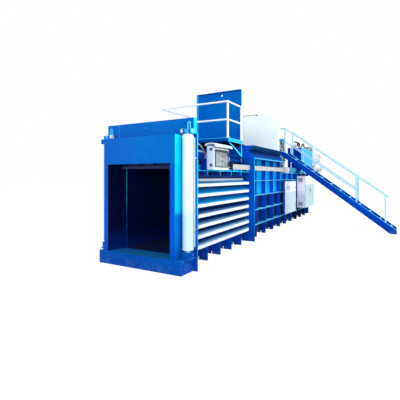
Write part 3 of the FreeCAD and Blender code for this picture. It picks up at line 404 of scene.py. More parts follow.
def bluePaint(name, **changes):
    # Gloss machine enamel. Long sides get a painted sunlit cyan above the belt line and a painted shade below it,
    # ends keep a fuller blue, upward faces have a painted pale reflection, downward faces a painted dark shade
    # and everything gets a painted shade near the floor.
    look = dict(paintLook, **changes)
    f = Finish(name)
    x, y, z = f.axes()
    nx, ny, nz = f.facing()
    cloud = f.noise(0.9)
    # painted sunlight on the long sides above the change height and painted shade below it, along a wavering line
    side = f.blend((z + (cloud - 0.5) * 0.06).ramp(*look["change"]), look["sideLow"], look["side"])
    end = f.blend(cloud.ramp(0.32, 0.68), look["endDeep"], look["end"])
    # the side coat is painted sunlight and the top coat a painted pale reflection
    coats = [(abs(ny).ramp(0.3, 0.75), side), (nz.ramp(0.5, 0.95), look["top"])]
    # faces turned toward the middle get a painted shade
    if "inward" in look:
        coats.append(((y * ny).ramp(-0.1, -0.3), look["inward"]))
    # a painted shadow under the electric cabinet, low on the tail
    if "tailShade" in look:
        coats.append((x.ramp(7.5, 7.9) * z.ramp(0.5, 0.42), look["tailShade"]))
    # painted shade on downward faces and towards the floor; the noise blotches are random darker tone in the same
    # colour
    coats += [(nz.ramp(-0.35, -0.9), look["under"]), (z.ramp(0.75, 0.05) * 0.62, look["floorShade"]),
              (f.noise(3.2, 4).ramp(0.5, 0.8) * 0.12, look["floorShade"])]
    return enamelCoat(f, wearMarks(f, f.over(end, *coats), z, 1.0, (150, 196, 236)), 0.36)


def barPaint(name):
    # Bale-channel bars: slopes run from a painted shade at the wall to a painted pale highlight at the lip, and the
    # three highest get a painted sunlit cyan; the flat sides follow the machine enamel's painted sunlight and shade.
    f = Finish(name)
    x, y, z = f.axes()
    nx, ny, nz = f.facing()
    cloud = f.noise(1.4, 4)
    # toward the lip the slope colour lifts from painted shade to a painted highlight, more on lower bars
    toLip = abs(y).ramp(0.66, 0.79)
    low = f.blend(toLip * z.ramp(1.1, 0.35, 0.35, 0.85), (0, 50, 142), (130, 196, 230))
    # the three highest slopes: painted sunlit cyan
    slope = f.blend(z.ramp(1.0, 1.06), low, f.blend(cloud, (30, 160, 255), (20, 176, 255)))
    # flat sides: painted shade below the rail top, painted sunlight above it, a painted deck shadow on the wall above
    # the rail and painted shade on inward faces
    side = f.over(f.blend(z.ramp(1.618, 1.63), (0, 46, 120), (0, 196, 246)),
                  (z.ramp(1.82, 1.84) * abs(y).ramp(0.62, 0.61), (2, 12, 44)), ((y * ny).ramp(-0.1, -0.3), (2, 18, 62)))
    end = f.blend(cloud.ramp(0.3, 0.7), (2, 72, 188), (2, 84, 205))
    # painted shade on the front ends inside the mouth, on downward faces and near the floor; the ends' two blues are
    # random tone
    colour = f.over(end, (x.ramp(0.46, 0.44), (2, 12, 44)), (abs(ny).ramp(0.55, 0.85), side),
                    (nz.ramp(0.55, 0.8), slope), (nz.ramp(-0.4, -0.9), (0, 22, 80)),
                    (z.ramp(0.6, 0.05) * 0.6, paintLook["floorShade"]))
    return enamelCoat(f, wearMarks(f, colour, z, 1.0, (170, 205, 235)), 0.38)


def hopperPaint(name):
    # Hopper sheets: mid blue below the waist with a painted shade just under the flare, and the downward-facing flare
    # above it in a painted deep shade clouded with a teal painted reflection of the ground.
    f = Finish(name)
    z, (nx, ny, nz) = f.axes()[2], f.facing()
    cloud = f.noise(1.3, 5, (0.5, 1, 2.2))
    # flare: painted deep shade with a teal painted reflection, darker still towards the waist
    flare = f.over(f.blend(cloud.ramp(0.42, 0.66), (0, 44, 102), (8, 70, 102)), (z.ramp(2.3, 2.26), (2, 30, 90)))
    # below the waist: painted shade under the flare's overhang, with random lighter patches
    lower = f.over(f.blend(z.ramp(2.22, 2.12), (0, 36, 100), (0, 62, 138)), (cloud.ramp(0.5, 0.75) * 0.4, (0, 70, 180)))
    # a painted highlight strip along the foot, a fuller blue on the ends, and grey smudges of dirt
    colour = f.over(lower, (nz.ramp(-0.2, -0.5), flare), (z.ramp(2.085, 2.065), (0, 150, 240)),
                    (abs(nx).ramp(0.6, 0.9), (2, 82, 205)),
                    (f.noise(9, 5, (1, 1, 0.4)).ramp(0.6, 0.75) * 0.3, (40, 90, 130)))
    return enamelCoat(f, wearMarks(f, colour, z, 0.6, (90, 150, 205)), 0.6, 0.03)


def plainPaint(name, base, shade, rough=0.4, dirt=0.5, paintedShadeLow=None, turnAt=(1.12, 0.94), metal=0.0):
    # Pale enamel: clouded between two near tones, a painted shade in a cooler tint low on the machine,
    # a painted shade on downward faces, faint rain streaks and thin scuffs.
    f = Finish(name)
    z, nz = f.axes()[2], f.facing()[2]
    colour = f.blend(f.noise(1.5, 4).ramp(0.3, 0.72), base, shade)
    # below the turn height the colour goes to a cooler painted shade
    if paintedShadeLow:
        colour = f.blend(z.ramp(*turnAt) * 0.9, colour, paintedShadeLow)
    streak = f.noise(4.5, 4, (4, 4, 0.25)).ramp(0.55, 0.8) * abs(nz).ramp(0.5, 0.2)
    scuff = f.noise(30, 3, (1, 1, 7)).ramp(0.68, 0.73)
    # downward faces take a painted shade; streaks are dirt and scuffs are wear
    colour = f.over(colour, (streak * (0.18 * dirt), scaled(shade, 0.62)),
                    (nz.ramp(-0.3, -0.9) * 0.3, scaled(shade, 0.5)), (scuff * (0.4 * dirt), scaled(shade, 0.45)))
    return f.set(Base_Color=colour, Roughness=f.noise(12, 5) * 0.2 + (rough - 0.1), Metallic=metal,
                 Normal=f.bump(f.noise(150, 2), 0.05, 0.002), Specular_IOR_Level=0.3)


def bareMetal(name, base, rough, brush=(1, 60, 60), strength=0.12):
    # Machined or drawn steel: long fine scratches along one axis and faint oil films.
    f = Finish(name)
    scratch, film = f.noise(24, 4, brush), f.noise(3.5, 4)
    return f.set(Base_Color=f.blend(film.ramp(0.35, 0.8), base, scaled(base, 0.72)), Metallic=1.0,
                 Roughness=scratch * 0.18 + film * 0.1 + (rough - 0.14), Normal=f.bump(scratch, strength, 0.001))


def wornPlate(name):
    # Wear plate rubbed bright by bales: streaks along the travel over dark scale, with rust specks.
    f = Finish(name)
    rub = f.noise(5, 5, (0.35, 5, 5))
    colour = f.over(f.blend(rub.ramp(0.35, 0.7), (38, 42, 50), (96, 100, 108)),
                    (f.noise(14, 4).ramp(0.62, 0.74) * 0.5, (88, 58, 42)))
    return f.set(Base_Color=colour, Metallic=rub.ramp(0.4, 0.7, 0.2, 0.85), Roughness=rub * 0.3 + 0.3,
                 Normal=f.bump(rub, 0.25, 0.002))


def innerPaint(name, base, worn=0.6):
    # Inside of the bale way: enamel scraped back to dark steel by streaks along X.
    f = Finish(name)
    rub = f.noise(3.5, 5, (0.25, 3, 3))
    colour = f.over(base, (rub.ramp(0.4, 0.62) * worn, (34, 36, 42)),
                    (f.noise(11, 3, (0.4, 4, 4)).ramp(0.62, 0.7) * 0.4, (92, 98, 106)))
    return f.set(Base_Color=colour, Roughness=rub * 0.3 + 0.32, Normal=f.bump(rub, 0.15, 0.002),
                 Specular_IOR_Level=0.25)


def blackRubber(name, base=(0.016, 0.017, 0.02), rough=0.55, dust=0.4):
    # Hose cover or moulded plastic: a dusty film on top and a fine cloth print in the bump.
    f = Finish(name)
    film = f.noise(20, 4)
    colour = f.blend(f.facing()[2].ramp(0.0, 1.0) * film * dust, base, (0.11, 0.12, 0.13))
    return f.set(Base_Color=colour, Roughness=film * 0.2 + (rough - 0.1), Normal=f.bump(f.noise(220, 2), 0.12, 0.001),
                 Specular_IOR_Level=0.4)


def braidedHose(name):
    # Steel-braid hose cover: two crossed sets of fine diagonal bands from a product of sines.
    f = Finish(name)
    x, y, z = f.axes()
    weave = ((x + z) * 900.0).math("SINE") * ((x - z) * 900.0).math("SINE")
    lay, grime = abs(weave).ramp(0.2, 0.8), f.noise(9, 4)
    colour = f.over(f.blend(lay, (126, 134, 142), (206, 212, 216)), (grime.ramp(0.55, 0.75) * 0.4, (84, 92, 104)))
    return f.set(Base_Color=colour, Metallic=0.5, Roughness=grime * 0.2 + 0.3, Normal=f.bump(lay, 0.3, 0.001))


def glassPane(name, tint, alpha):
    # Clear pane: tinted, with faint smears in its gloss.
    f = Finish(name)
    smear = f.noise(5, 4, (1, 1, 3))
    return f.set(Base_Color=f.blend(smear, tint, scaled(tint, 0.9)), Roughness=smear * 0.12 + 0.03,
                 Alpha=smear * 0.06 + alpha, IOR=1.5)


def screenFace(name):
    # Operator screen at rest: a soft grey field with a darker band at its head, no lettering.
    f = Finish(name)
    low, high = [corner[2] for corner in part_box("operator_screen")]
    rise = (f.axes()[2] - low) / (high - low)
    haze = f.noise(6)
    field = f.blend(haze.ramp(0.3, 0.7), (126, 132, 144), (142, 146, 156))
    colour = f.blend(rise.ramp(0.82, 0.86), field, (88, 96, 112))
    return f.set(Base_Color=colour, Roughness=haze * 0.1 + 0.12)


def deckPaint(name):
    # Walkway sheet: blue enamel with raised anti-slip tears, two crossed sets of lens shapes made
    # from products of sines, and worn paint on the tread side.
    f = Finish(name)
    x, y, z = f.axes()
    nx, ny, nz = f.facing()
    wave = (x * 125.0).math("SINE") * (y * 125.0).math("SINE")
    # dark is a painted shade
    up, dark = nz.ramp(0.6, 0.9), (1, 10, 40)
    tear = up * abs(wave).ramp(0.55, 0.85)
    # painted sunlit cyan on the outer side faces of the rim, painted shade on the inner ones
    outerRim = f.blend(abs(y).ramp(0.8, 0.82), dark, (0, 176, 236))
    rim = f.over((0, 76, 160), (abs(ny).ramp(0.4, 0.8), outerRim), (x.ramp(1.8, 1.82) * nx.ramp(-0.4, -0.8), dark))
    # end faces behind the deck front take the painted shade above, downward faces a near-black painted shade; the pale
    # tears are worn paint
    colour = f.over(rim, (up, (20, 110, 210)), (tear * f.noise(2).ramp(0.4, 0.7), (150, 170, 190)),
                    (nz.ramp(-0.3, -0.9), (0, 18, 70)))
    return f.set(Base_Color=colour, Roughness=f.noise(8, 4) * 0.2 + 0.32, Normal=f.bump(tear, 0.6, 0.003),
                 Specular_IOR_Level=0.15, Specular_Tint=glossTint)


def rodPaint(name):
    # Tie rod: hard chrome below, and machine enamel on the eye above the barrel, in a light cyan blue that is painted
    # sunlight.
    f = Finish(name)
    eye, scratch, cloud = f.axes()[2].ramp(2.302, 2.304), f.noise(24, 4, (60, 60, 1)), f.noise(2.5)
    # the eye's cyan blues are the enamel with painted sunlight
    colour = f.blend(eye, f.blend(cloud, (0.78, 0.79, 0.81), (0.7, 0.71, 0.74)),
                     f.blend(cloud, (0, 160, 232), (0, 130, 222)))
    return f.set(Base_Color=colour, Metallic=1 - eye, Roughness=scratch * 0.12 + eye * 0.2 + 0.1,
                 Normal=f.bump(scratch, 0.04, 0.001))


def pinPaint(name):
    # Tie pin: bright zinc at the crosshead, painted over with the machine enamel at the foot.
    f = Finish(name)
    bright, film = f.axes()[2].ramp(1.0, 1.1), f.noise(14, 4)
    colour = f.blend(bright, (0, 74, 170), f.blend(film, (0.78, 0.74, 0.76), (0.62, 0.62, 0.65)))
    return f.set(Base_Color=colour, Metallic=bright * 0.7, Roughness=film * 0.2 + 0.25,
                 Normal=f.bump(film, 0.08, 0.001))


finishes = {
    "blue": bluePaint("machineEnamel"),
    # The variants below pass their own painted sunlit side colours, painted shade below the belt line, painted top
    # reflections, painted shade on inward faces and near the floor, and for the chamber a painted shadow low on its
    # tail.
    "deepBlue": bluePaint("stairEnamel", end=(2, 60, 168), endDeep=(2, 52, 152), side=(0, 84, 196),
                          sideLow=(0, 58, 160), top=(50, 140, 226)),
    "pillar": bluePaint("pillarEnamel", end=(0, 86, 188), endDeep=(0, 74, 178), side=(0, 200, 244),
                        sideLow=(0, 112, 206), inward=(1, 10, 44)),
    "chamber": bluePaint("chamberEnamel", end=(0, 76, 190), endDeep=(0, 64, 176), side=(0, 174, 240),
                         sideLow=(0, 32, 106), top=(86, 208, 246), change=(1.1, 1.14), tailShade=(1, 8, 30),
                         floorShade=(0, 26, 88)),
    "tank": bluePaint("tankEnamel", end=(0, 46, 150), endDeep=(0, 38, 132), side=(0, 170, 222)),
    "deck": deckPaint("walkwayEnamel"),
    "bars": barPaint("barEnamel"),
    "hopper": hopperPaint("hopperEnamel"),
    # the scraped enamel's deep navy base is a painted shade inside the bale way
    "inner": innerPaint("scrapedEnamel", (2, 26, 86)),
    "navy": innerPaint("roofEnamel", (4, 44, 128), 0.25),
    "slot": innerPaint("slotShadow", (2, 10, 40), 0.3),
    # the last colour here is a painted shade low on the cylinders
    "white": plainPaint("cylinderEnamel", (212, 222, 228), (198, 212, 222), 0.3, 0.35, (178, 206, 220)),
    "lip": plainPaint("lipEnamel", (232, 238, 242), (218, 228, 236), 0.42, 0.5),
    "walkRail": plainPaint("walkRailEnamel", (232, 242, 250), (214, 230, 244), 0.34, 0.3),
    "stairRail": plainPaint("stairRailEnamel", (160, 206, 228), (138, 192, 220), 0.36, 0.3),
    "rearPlate": plainPaint("rearPlateEnamel", (240, 250, 252), (226, 242, 246), 0.45, 0.35),
    # the cabinet, vent and pale-door enamels end with a painted shade colour low on the machine and the heights where
    # it turns
    "cabinet": plainPaint("cabinetEnamel", (240, 250, 250), (226, 242, 246), 0.4, 0.4, (188, 212, 224), (1.1, 1.05)),
    "vent": plainPaint("ventEnamel", (246, 238, 250), (236, 228, 244), 0.4, 0.4, (178, 190, 216), (1.25, 0.8)),
    "pale": plainPaint("paleDoorEnamel", (244, 248, 250), (236, 244, 246), 0.38, 0.4, (164, 198, 206), (1.315, 1.29)),
    "box": plainPaint("controlBoxEnamel", (208, 224, 232), (188, 210, 222), 0.36, 0.4),
    "tray": plainPaint("trayEnamel", (190, 190, 186), (176, 176, 172), 0.48, 0.7),
    "panel": plainPaint("panelGrey", (170, 170, 174), (156, 156, 164), 0.4, 0.2),
    "motorWhite": plainPaint("motorEnamel", (228, 226, 230), (206, 206, 214), 0.4, 0.5),
    "pump": plainPaint("pumpEnamel", (40, 172, 220), (24, 150, 204), 0.36, 0.6),
    "capBlue": plainPaint("coilBlue", (28, 132, 206), (18, 112, 186), 0.4, 0.3),
    # a bright cyan for rods and beads that stand in for lit edges: painted highlight
    "edge": plainPaint("paintedHighlightEnamel", (84, 204, 250), (52, 184, 244), 0.36, 0.3),
    "bossBlue": plainPaint("bossEnamel", (84, 150, 214), (64, 128, 200), 0.38, 0.3),
    "lens": plainPaint("lampLens", (20, 60, 130), (14, 46, 110), 0.2, 0.1),
    "gaugeOil": plainPaint("gaugeOil", (190, 160, 70), (160, 120, 50), 0.2, 0.1),
    "grille": plainPaint("grilleEnamel", (160, 164, 182), (136, 142, 162), 0.45, 0.3),
    "ventPale": plainPaint("ventPaleEnamel", (200, 204, 218), (184, 190, 206), 0.45, 0.3),
    "silver": plainPaint("coolerSilver", (214, 214, 218), (178, 180, 190), 0.34, 0.6, metal=0.5),
    "steel": bareMetal("brightSteel", (0.62, 0.63, 0.65), 0.34),
    "zinc": bareMetal("zincSteel", (0.72, 0.73, 0.74), 0.3, (12, 12, 12), 0.05),
    "chrome": bareMetal("chromedRod", (0.8, 0.81, 0.83), 0.14, (60, 60, 1), 0.04),
    "tieRod": rodPaint("tieRodFinish"),
    "tiePin": pinPaint("tiePinFinish"),
    "worn": wornPlate("wornPlate"),
    "rubber": blackRubber("hoseRubber"),
    "black": blackRubber("blackPlastic", (0.012, 0.013, 0.016), 0.45, 0.25),
    "lock": blackRubber("lockPlastic", (0.003, 0.016, 0.09), 0.4, 0.2),
    "gasket": blackRubber("gasketRubber", (30, 34, 48), 0.5, 0.15),
    "braid": braidedHose("braidedHose"),
    "glass": glassPane("windowPane", (0.55, 0.6, 0.64), 0.1),
    "screen": screenFace("operatorScreen"),
}

nodeFinish = {
    "pillar": ("mouth_columns", "frame_plates"),
    "blue": ("mouth_sill", "mouth_header", "tie_foot_brackets", "crosshead_beam", "hopper_front_plate",
             "stair_landing", "side_brackets", "walkway_supports", "power_pack_frame", "main_cylinder_barrel",
             "cylinder_bulkheads"),
    "bars": ("channel_side_left", "channel_side_right"),
    "chamber": ("chamber_side_left", "chamber_side_right", "side_cabinet"),
    "deepBlue": ("stair_stringers", "stair_treads"), "hopper": ("hopper_sides", "hopper_front"),
    "inner": ("channel_floor", "press_plate", "top_flap"), "navy": ("roof_plates",),
    "deck": ("walkway_deck",), "white": ("tie_barrels", "tie_pipes"), "lip": ("bar_lips",),
    "rearPlate": ("hopper_rear_plate",), "walkRail": ("walkway_rails",), "stairRail": ("stair_rails",),
    "cabinet": ("side_cabinet_door",), "vent": ("electric_cabinet",),
    "pale": ("electric_door_front", "electric_door_rear"),
    "box": ("control_box", "control_box_roof", "control_box_door"),
    "tray": ("cable_trays",), "panel": ("control_panel",), "tank": ("oil_tank",),
    "motorWhite": ("pump_motor",), "pump": ("circulation_pump",), "zinc": ("valve_blocks",),
    "steel": ("flap_pin", "shear_blade"), "chrome": ("ram_rod",), "tieRod": ("tie_rods",), "tiePin": ("tie_pins",),
    "silver": ("oil_cooler",), "worn": ("ram_head",), "rubber": ("oil_hoses",), "black": ("tank_caps",),
    "lock": ("door_lock_upper", "door_lock_lower", "electric_door_handle"),
    "glass": ("control_box_window",), "screen": ("operator_screen",),
}
for key, names in nodeFinish.items():
    for nodeName in names:
        nodes[nodeName].data.materials.clear()
        nodes[nodeName].data.materials.append(finishes[key])
missed = [name for name in nodes if all(name not in names for names in nodeFinish.values())]
print("finishes assigned, left over:", missed)


# Weld beads are rows of start x, y, z and end x, y, z, and pieces of a pair are given on the -Y side.
frameWeld = {"radius": 0.006, "runs": (
    (0.01, -0.792, 0.237, 0.215, -0.792, 0.237), (0.0, -0.79, 0.239, 0.0, -0.692, 0.239),
    (-0.001, -0.79, 1.82, -0.001, -0.692, 1.82), (0.215, -0.792, 0.25, 0.215, -0.792, 2.28),
    (0.363, -0.79, 0.24, 0.363, -0.79, 2.3), (0.403, -0.602, 0.08, 0.403, -0.602, 1.94))}
sill = {"cleat": (0.05, 0.05, 0.31, 0.19), "thick": 0.012, "end": -0.91, "bolt": 0.022,
        "rows": ((0.09, 0.27), (0.085, 0.155))}


def makeMouthFrame(v, s):
    # Beads follow the corner lines of the columns; each end of the sill has a cleat with two rows of bolts.
    piece("frameWelds", "blue", beads(v["runs"], v["radius"]), both=True)
    cleat = stood(roundPlate(*s["cleat"], 0.02, "z", 0.0, s["thick"]), (0, s["end"], 0))
    piece("sillCleats", "blue", cleat, both=True)
    spots = [(x, s["end"] - 0.011, z) for x in s["rows"][0] for z in s["rows"][1]]
    piece("sillBolts", "pillar", bolts("y", s["bolt"], -1, spots), both=True)


tie = {"x": 0.215, "y": -0.905, "eye": 2.352, "foot": 0.32, "portX": 0.31, "ports": (2.179, 2.04),
       "rings": ((0.09, 0.101, 2.225, 2.262), (0.09, 0.098, 0.392, 0.425), (0.047, 0.066, 2.288, 2.301)),
       "union": (((0.0, 0.024), (0.003, 0.027), (0.024, 0.027), (0.027, 0.024)),
                 ((0.024, 0.021), (0.05, 0.021), (0.053, 0.018))), "clamps": (0.712, 1.912)}


def makeTieCylinders(v):
    # Gland ring with eight bolts on a circle at the top, a cap ring below, and screwed unions in the ports.
    x, y = v["x"], v["y"]
    piece("tieGlandRings", "white", *[ring((x, y, 0.0), "z", *row) for row in v["rings"]], both=True)
    spots = onCircle((x, y, 2.288), "z", 0.078, evenTurns(8, 0.2))
    piece("tieGlandBolts", "zinc", bolts("z", 0.009, 1, spots), both=True)
    unions = [turned(profile, (v["portX"], y, z), "x", 6) for z in v["ports"] for profile in v["union"]]
    piece("tiePortUnions", "zinc", *unions, both=True)
    washer = turned(((0.0, 0.036), (-0.007, 0.036), (-0.009, 0.033)), (x, -0.991, v["foot"]), "y", 24)
    piece("tieFootWashers", "blue", washer, both=True)
    piece("pipeClampBolts", "zinc", bolts("y", 0.008, -1, [(0.35, -0.977, z) for z in v["clamps"]]), both=True)


def makePinRetainers(v):
    # Each pin's outer end carries a lock plate with two bolts, and its inner head a raised boss.
    x, z = v["x"], v["eye"]
    lock = stood(roundPlate(-0.034, -0.012, 0.034, 0.012, 0.006, "z", 0.0, 0.005, 0.001), (x, -1.0005, z))
    spots = [(x + shift, -1.0055, z) for shift in (-0.024, 0.024)]
    boss = turned(((0.0, 0.046), (0.004, 0.046), (0.007, 0.04), (0.007, 0.02), (0.003, 0.016)), (x, -0.79, z), "y", 28)
    piece("pinLocks", "zinc", lock, body="crosshead", both=True)
    piece("pinLockBolts", "zinc", bolts("y", 0.006, -1, spots), body="crosshead", both=True)
    piece("pinBosses", "white", boss, body="crosshead", both=True)


head = {"front": 0.29, "doubler": (0.684, 2.324, 0.975, 2.581), "loop": (0.284, -0.888, 2.51), "loopRadius": 0.0115,
        "liftHole": (0.0, 0.027, 2.49), "runs": (
            (0.286, -0.83, 2.3105, 0.286, -0.90, 2.3105), (0.29, -0.833, 2.315, 0.29, -0.833, 2.39),
            (0.29, -0.977, 2.315, 0.29, -0.977, 2.39))}


def makeCrosshead(v):
    # A doubler sheet on each end of the beam's face, ground beads on its cheeks, and sling loops in a painted highlight
    # cyan.
    front = v["front"]
    doubler = roundPlate(*v["doubler"], 0.004, "x", front - 0.006, front + 0.002, 0.002)
    piece("crossheadDoublers", "blue", doubler, body="crosshead", both=True)
    piece("crossheadWelds", "blue", beads(v["runs"], 0.004), body="crosshead", both=True)
    x, y, z = v["loop"]
    bend = ((-0.024, -0.142), (-0.024, -0.03), (-0.02, 0.004), (0.0, 0.011), (0.02, 0.004), (0.024, -0.03),
            (0.024, -0.142))
    path = flowing([(x, y + across, z + up) for across, up in bend], 4)
    # the loops take the painted highlight cyan
    piece("slingLoops", "edge", tube(path, v["loopRadius"]), body="crosshead", both=True)
    holeRing = ring(v["liftHole"], "x", 0.0275, 0.036, front - 0.003, front + 0.001, 24, 0.001)
    piece("liftHoleRing", "blue", holeRing, body="crosshead")


channel = {"start": 0.4, "end": 3.28, "ribs": (1.1, 1.645, 2.19, 2.735), "ribThick": 0.02, "bead": 0.005,
           "levels": tuple(1.44 - 0.188 * i for i in range(7))}


def makeChannel(v):
    # Beads where the slopes meet the wall and where each bar runs into the frame plates, dark sheets in the rail slots
    # as a painted shade, rivets.
    start, end, ribs = v["start"], v["end"], v["ribs"]
    runs = []
    for i, level in enumerate(v["levels"]):
        top = level + (0.107 if i else 0.072)
        runs.append((start, -0.602, top, end, -0.602, top))
        runs += [(x, -0.6, top, x, -0.79, level + 0.03) for x in (end - 0.002, start + 0.002)]
    for x in ribs:
        runs += [(x, -0.602, 1.62, x, -0.602, 1.7), (x - 0.001, -0.789, 0.02, x - 0.001, -0.789, 0.28)]
    runs.append((1.169, -0.602, 1.73, 1.169, -0.602, 1.94))
    piece("channelWelds", "bars", beads(runs, v["bead"]), both=True)
    # near-black sheets in the rail slots: painted shade inside them
    slotShadeSheets = [slab((low + 0.012, -0.6045, 1.6175), (high - 0.012, -0.5995, 1.7025), 0.001)
              for low, high in zip((start, *[x + v["ribThick"] for x in ribs]), (*ribs, end))]
    piece("railSlotShadeSheets", "slot", *slotShadeSheets, both=True)
    spots = [(x, -0.8135, level) for x in np.linspace(0.55, 3.05, 6) for level in v["levels"]]
    rivet = turned(((0.0, 0.009), (-0.002, 0.009), (-0.0045, 0.005), (-0.005, 0.001)), (0, 0, 0), "y", 8)
    piece("lipRivets", "lip", repeated(rivet, spots), both=True)


chamber = {"start": 3.31, "end": 10.35, "wall": -0.603, "belt": -0.734, "thick": 0.016,
           "ribs": tuple(3.95 + 0.713 * i for i in range(9)), "belts": tuple(0.322 + 0.386 * i for i in range(4))}


def makeChamber(v):
    # Each belt carries a rolled nose along its edge in a painted highlight cyan; fillet beads join ribs, belts and
    # wall.
    start, end, wall, belt, ribs = v["start"], v["end"], v["wall"], v["belt"], v["ribs"]
    noses = [rod((start, belt, z + 0.008), (end, belt, z + 0.008), 12, 0.0088) for z in v["belts"]]
    # painted highlight along each belt edge
    piece("beltNoseHighlights", "edge", *noses, both=True)
    runs = [(x + side, wall, 0.08, x + side, wall, 2.03 if i < 4 else 1.7) for i, x in enumerate(ribs)
            for side in (-0.002, 0.022)]
    runs += [(start, wall, z, end, wall, z) for z in np.array(v["belts"]) + v["thick"] + 0.001]
    piece("chamberWelds", "chamber", beads(runs, 0.005), both=True)
    feet = [roundPlate(x - 0.05, -0.715, x + 0.07, -0.61, 0.012, "z", 0.0, 0.014) for x in ribs]
    piece("ribFeet", "blue", *feet, both=True)
    spots = [(x + shift, -0.69, 0.014) for x in ribs for shift in (-0.03, 0.05)]
    piece("ribFootBolts", "deepBlue", bolts("z", 0.013, 1, spots), both=True)


tail = {"x": 10.38, "axis": 0.945, "boltCircle": 0.26, "bolts": 16, "cover": (
    (0.0, 0.3), (0.022, 0.3), (0.026, 0.296), (0.026, 0.215), (0.03, 0.205), (0.075, 0.2), (0.08, 0.195), (0.08, 0.06),
    (0.072, 0.05))}


def makeTail(v):
    # The main cylinder's rear flange: a turned cover with a raised middle and bolts on a circle.
    x, axis = v["x"], v["axis"]
    piece("tailCover", "blue", turned(v["cover"], (x, 0, axis), "x", 48))
    spots = onCircle((x + 0.026, 0, axis), "x", v["boltCircle"], evenTurns(v["bolts"]))
    piece("tailCoverBolts", "zinc", bolts("x", 0.022, 1, spots))
    port = (x + 0.07, 0, axis)
    piece("tailPort", "zinc", turned(((0.0, 0.05), (0.05, 0.05), (0.055, 0.045)), port, "x", 24),
          turned(((0.05, 0.034), (0.11, 0.034), (0.114, 0.03)), port, "x", 6))
    spots = [(x, y, z) for y in (0.68, -0.68) for z in np.linspace(0.15, 1.6, 9)]
    spots += [(x, y, 1.66) for y in np.linspace(-0.56, 0.56, 8)]
    piece("tailPlateBolts", "zinc", bolts("x", 0.018, 1, spots))


roof = {"bolt": 0.016, "tail": 1.72, "channel": 1.785, "eyes": ((7.6, -0.3), (7.6, 0.3), (10.1, 0.2))}


def makeRoof(v):
    # Two rows of bolts hold the tail roof and two the channel roof; each lifting eye is half an ellipse.
    spots = [(x, y, v["tail"]) for x in np.linspace(6.35, 10.2, 14) for y in (-0.55, 0.55)]
    piece("tailRoofBolts", "zinc", bolts("z", v["bolt"], 1, spots))
    eyes = []
    for x, y in v["eyes"]:
        arch = [(x + 0.045 * np.cos(t), y, 1.724 + 0.06 * np.sin(t)) for t in np.linspace(0, np.pi, 9)[1:-1]]
        eyes.append(tube([(x + 0.045, y, 1.7), *arch, (x - 0.045, y, 1.7)], 0.011, 10))
    piece("roofLiftingEyes", "blue", *eyes)
    spots = [(x, y, v["channel"]) for x in (2.72, 3.2) for y in np.linspace(-0.5, 0.5, 6)]
    piece("channelRoofBolts", "zinc", bolts("z", v["bolt"], 1, spots))


# joint is where the black painted-shade strip on the rear plate's top edge starts
hopper = {"boss": (6.0, -0.734, 2.235), "start": 3.31, "end": 5.9, "joint": (6.108, 0.065, 3.645),
          "ribs": (-0.6, -0.2, 0.2, 0.6), "bands": (2.4, 3.0, 3.58)}


def makeHopper(v):
    # Trunnion boss at each rear corner, beads along the waist and foot, rods in a painted highlight cyan along the top
    # rim and the foot, and a black strip with a lug on the rear plate's top edge as a painted shade for the shaded gap
    # there.
    start, end = v["start"], v["end"]
    boss = turned(((0.01, 0.055), (-0.04, 0.055), (-0.052, 0.047), (-0.054, 0.03), (-0.046, 0.024), (-0.046, 0.004)),
                  v["boss"], "y", 28)
    piece("hopperBosses", "bossBlue", boss, both=True)
    front, rear = start + 0.002, end - 0.002
    runs = [(start, -0.766, 2.24, end, -0.766, 2.24), (front, -0.91, 2.058, front, -0.768, 2.236),
            (front, -0.768, 2.244, front, -0.888, 2.366), (rear, -0.888, 2.06, rear, -0.768, 2.236)]
    piece("hopperWelds", "hopper", beads(runs, 0.006), both=True)
    # rods in the painted highlight cyan along the top rim and the foot
    piece("hopperRimHighlights", "edge", rod((start, -0.876, 2.371), (end, -0.876, 2.371), 10, 0.009),
          rod((start, -0.889, 2.058), (end + 0.2, -0.889, 2.058), 10, 0.009), both=True)
    # a black strip and lug stand in for the shaded gap along the rear plate's top edge: painted shade
    lug = turned(((0.0, 0.022), (0.035, 0.022), (0.038, 0.018)), v["joint"], "x", 16)
    piece("rearPlateShadeStrip", "black", slab((6.113, 0.065, 3.652), (6.146, 0.6, 3.668), 0.003), lug)
    ribs = [slab((6.14, y - 0.02, 1.74), (6.165, y + 0.02, 3.62)) for y in v["ribs"]]
    bands = [slab((6.14, -0.62, z - 0.02), (6.16, 0.62, z + 0.02)) for z in v["bands"]]
    piece("rearPlateStiffeners", "rearPlate", *ribs, *bands)


tall = {"x": 3.11, "low": 2.405, "high": 3.73, "side": 0.5855, "ribs": (-0.6, -0.2, 0.2, 0.56)}


def makeTallPlate(v):
    # Stiffeners on the rear of the loading plate, beads in a painted highlight cyan along its foot and far side, and
    # foot bolts.
    x, low, high, side = v["x"], v["low"], v["high"], v["side"]
    ribs = [slab((x + 0.012, y - 0.015, low + 0.02), (x + 0.05, y + 0.015, high - 0.05)) for y in v["ribs"]]
    piece("tallPlateRibs", "blue", *ribs)
    face = x - 0.001
    runs = [(face, -0.635, low + 0.002, face, 0.578, low + 0.002), (face, side, low, face, side, high - 0.012)]
    # the beads take the painted highlight cyan
    piece("tallPlateHighlightBeads", "edge", beads(runs, 0.005))
    spots = [(face, y, low + 0.05) for y in np.linspace(-0.56, 0.5, 7)]
    piece("tallPlateBolts", "zinc", bolts("x", 0.012, -1, spots))


walk = {"top": 2.405, "edge": -0.909, "posts": ((1.797, -0.888), (2.508, -0.888), (1.797, 0.783), (3.06, 0.783)),
        "brackets": ((2.48, -0.9, 2.328, 2.52, -0.9, 2.328), (2.478, -0.9, 2.06, 2.478, -0.9, 2.3),
                     (2.48, -0.62, 2.044, 2.48, -0.88, 2.044))}


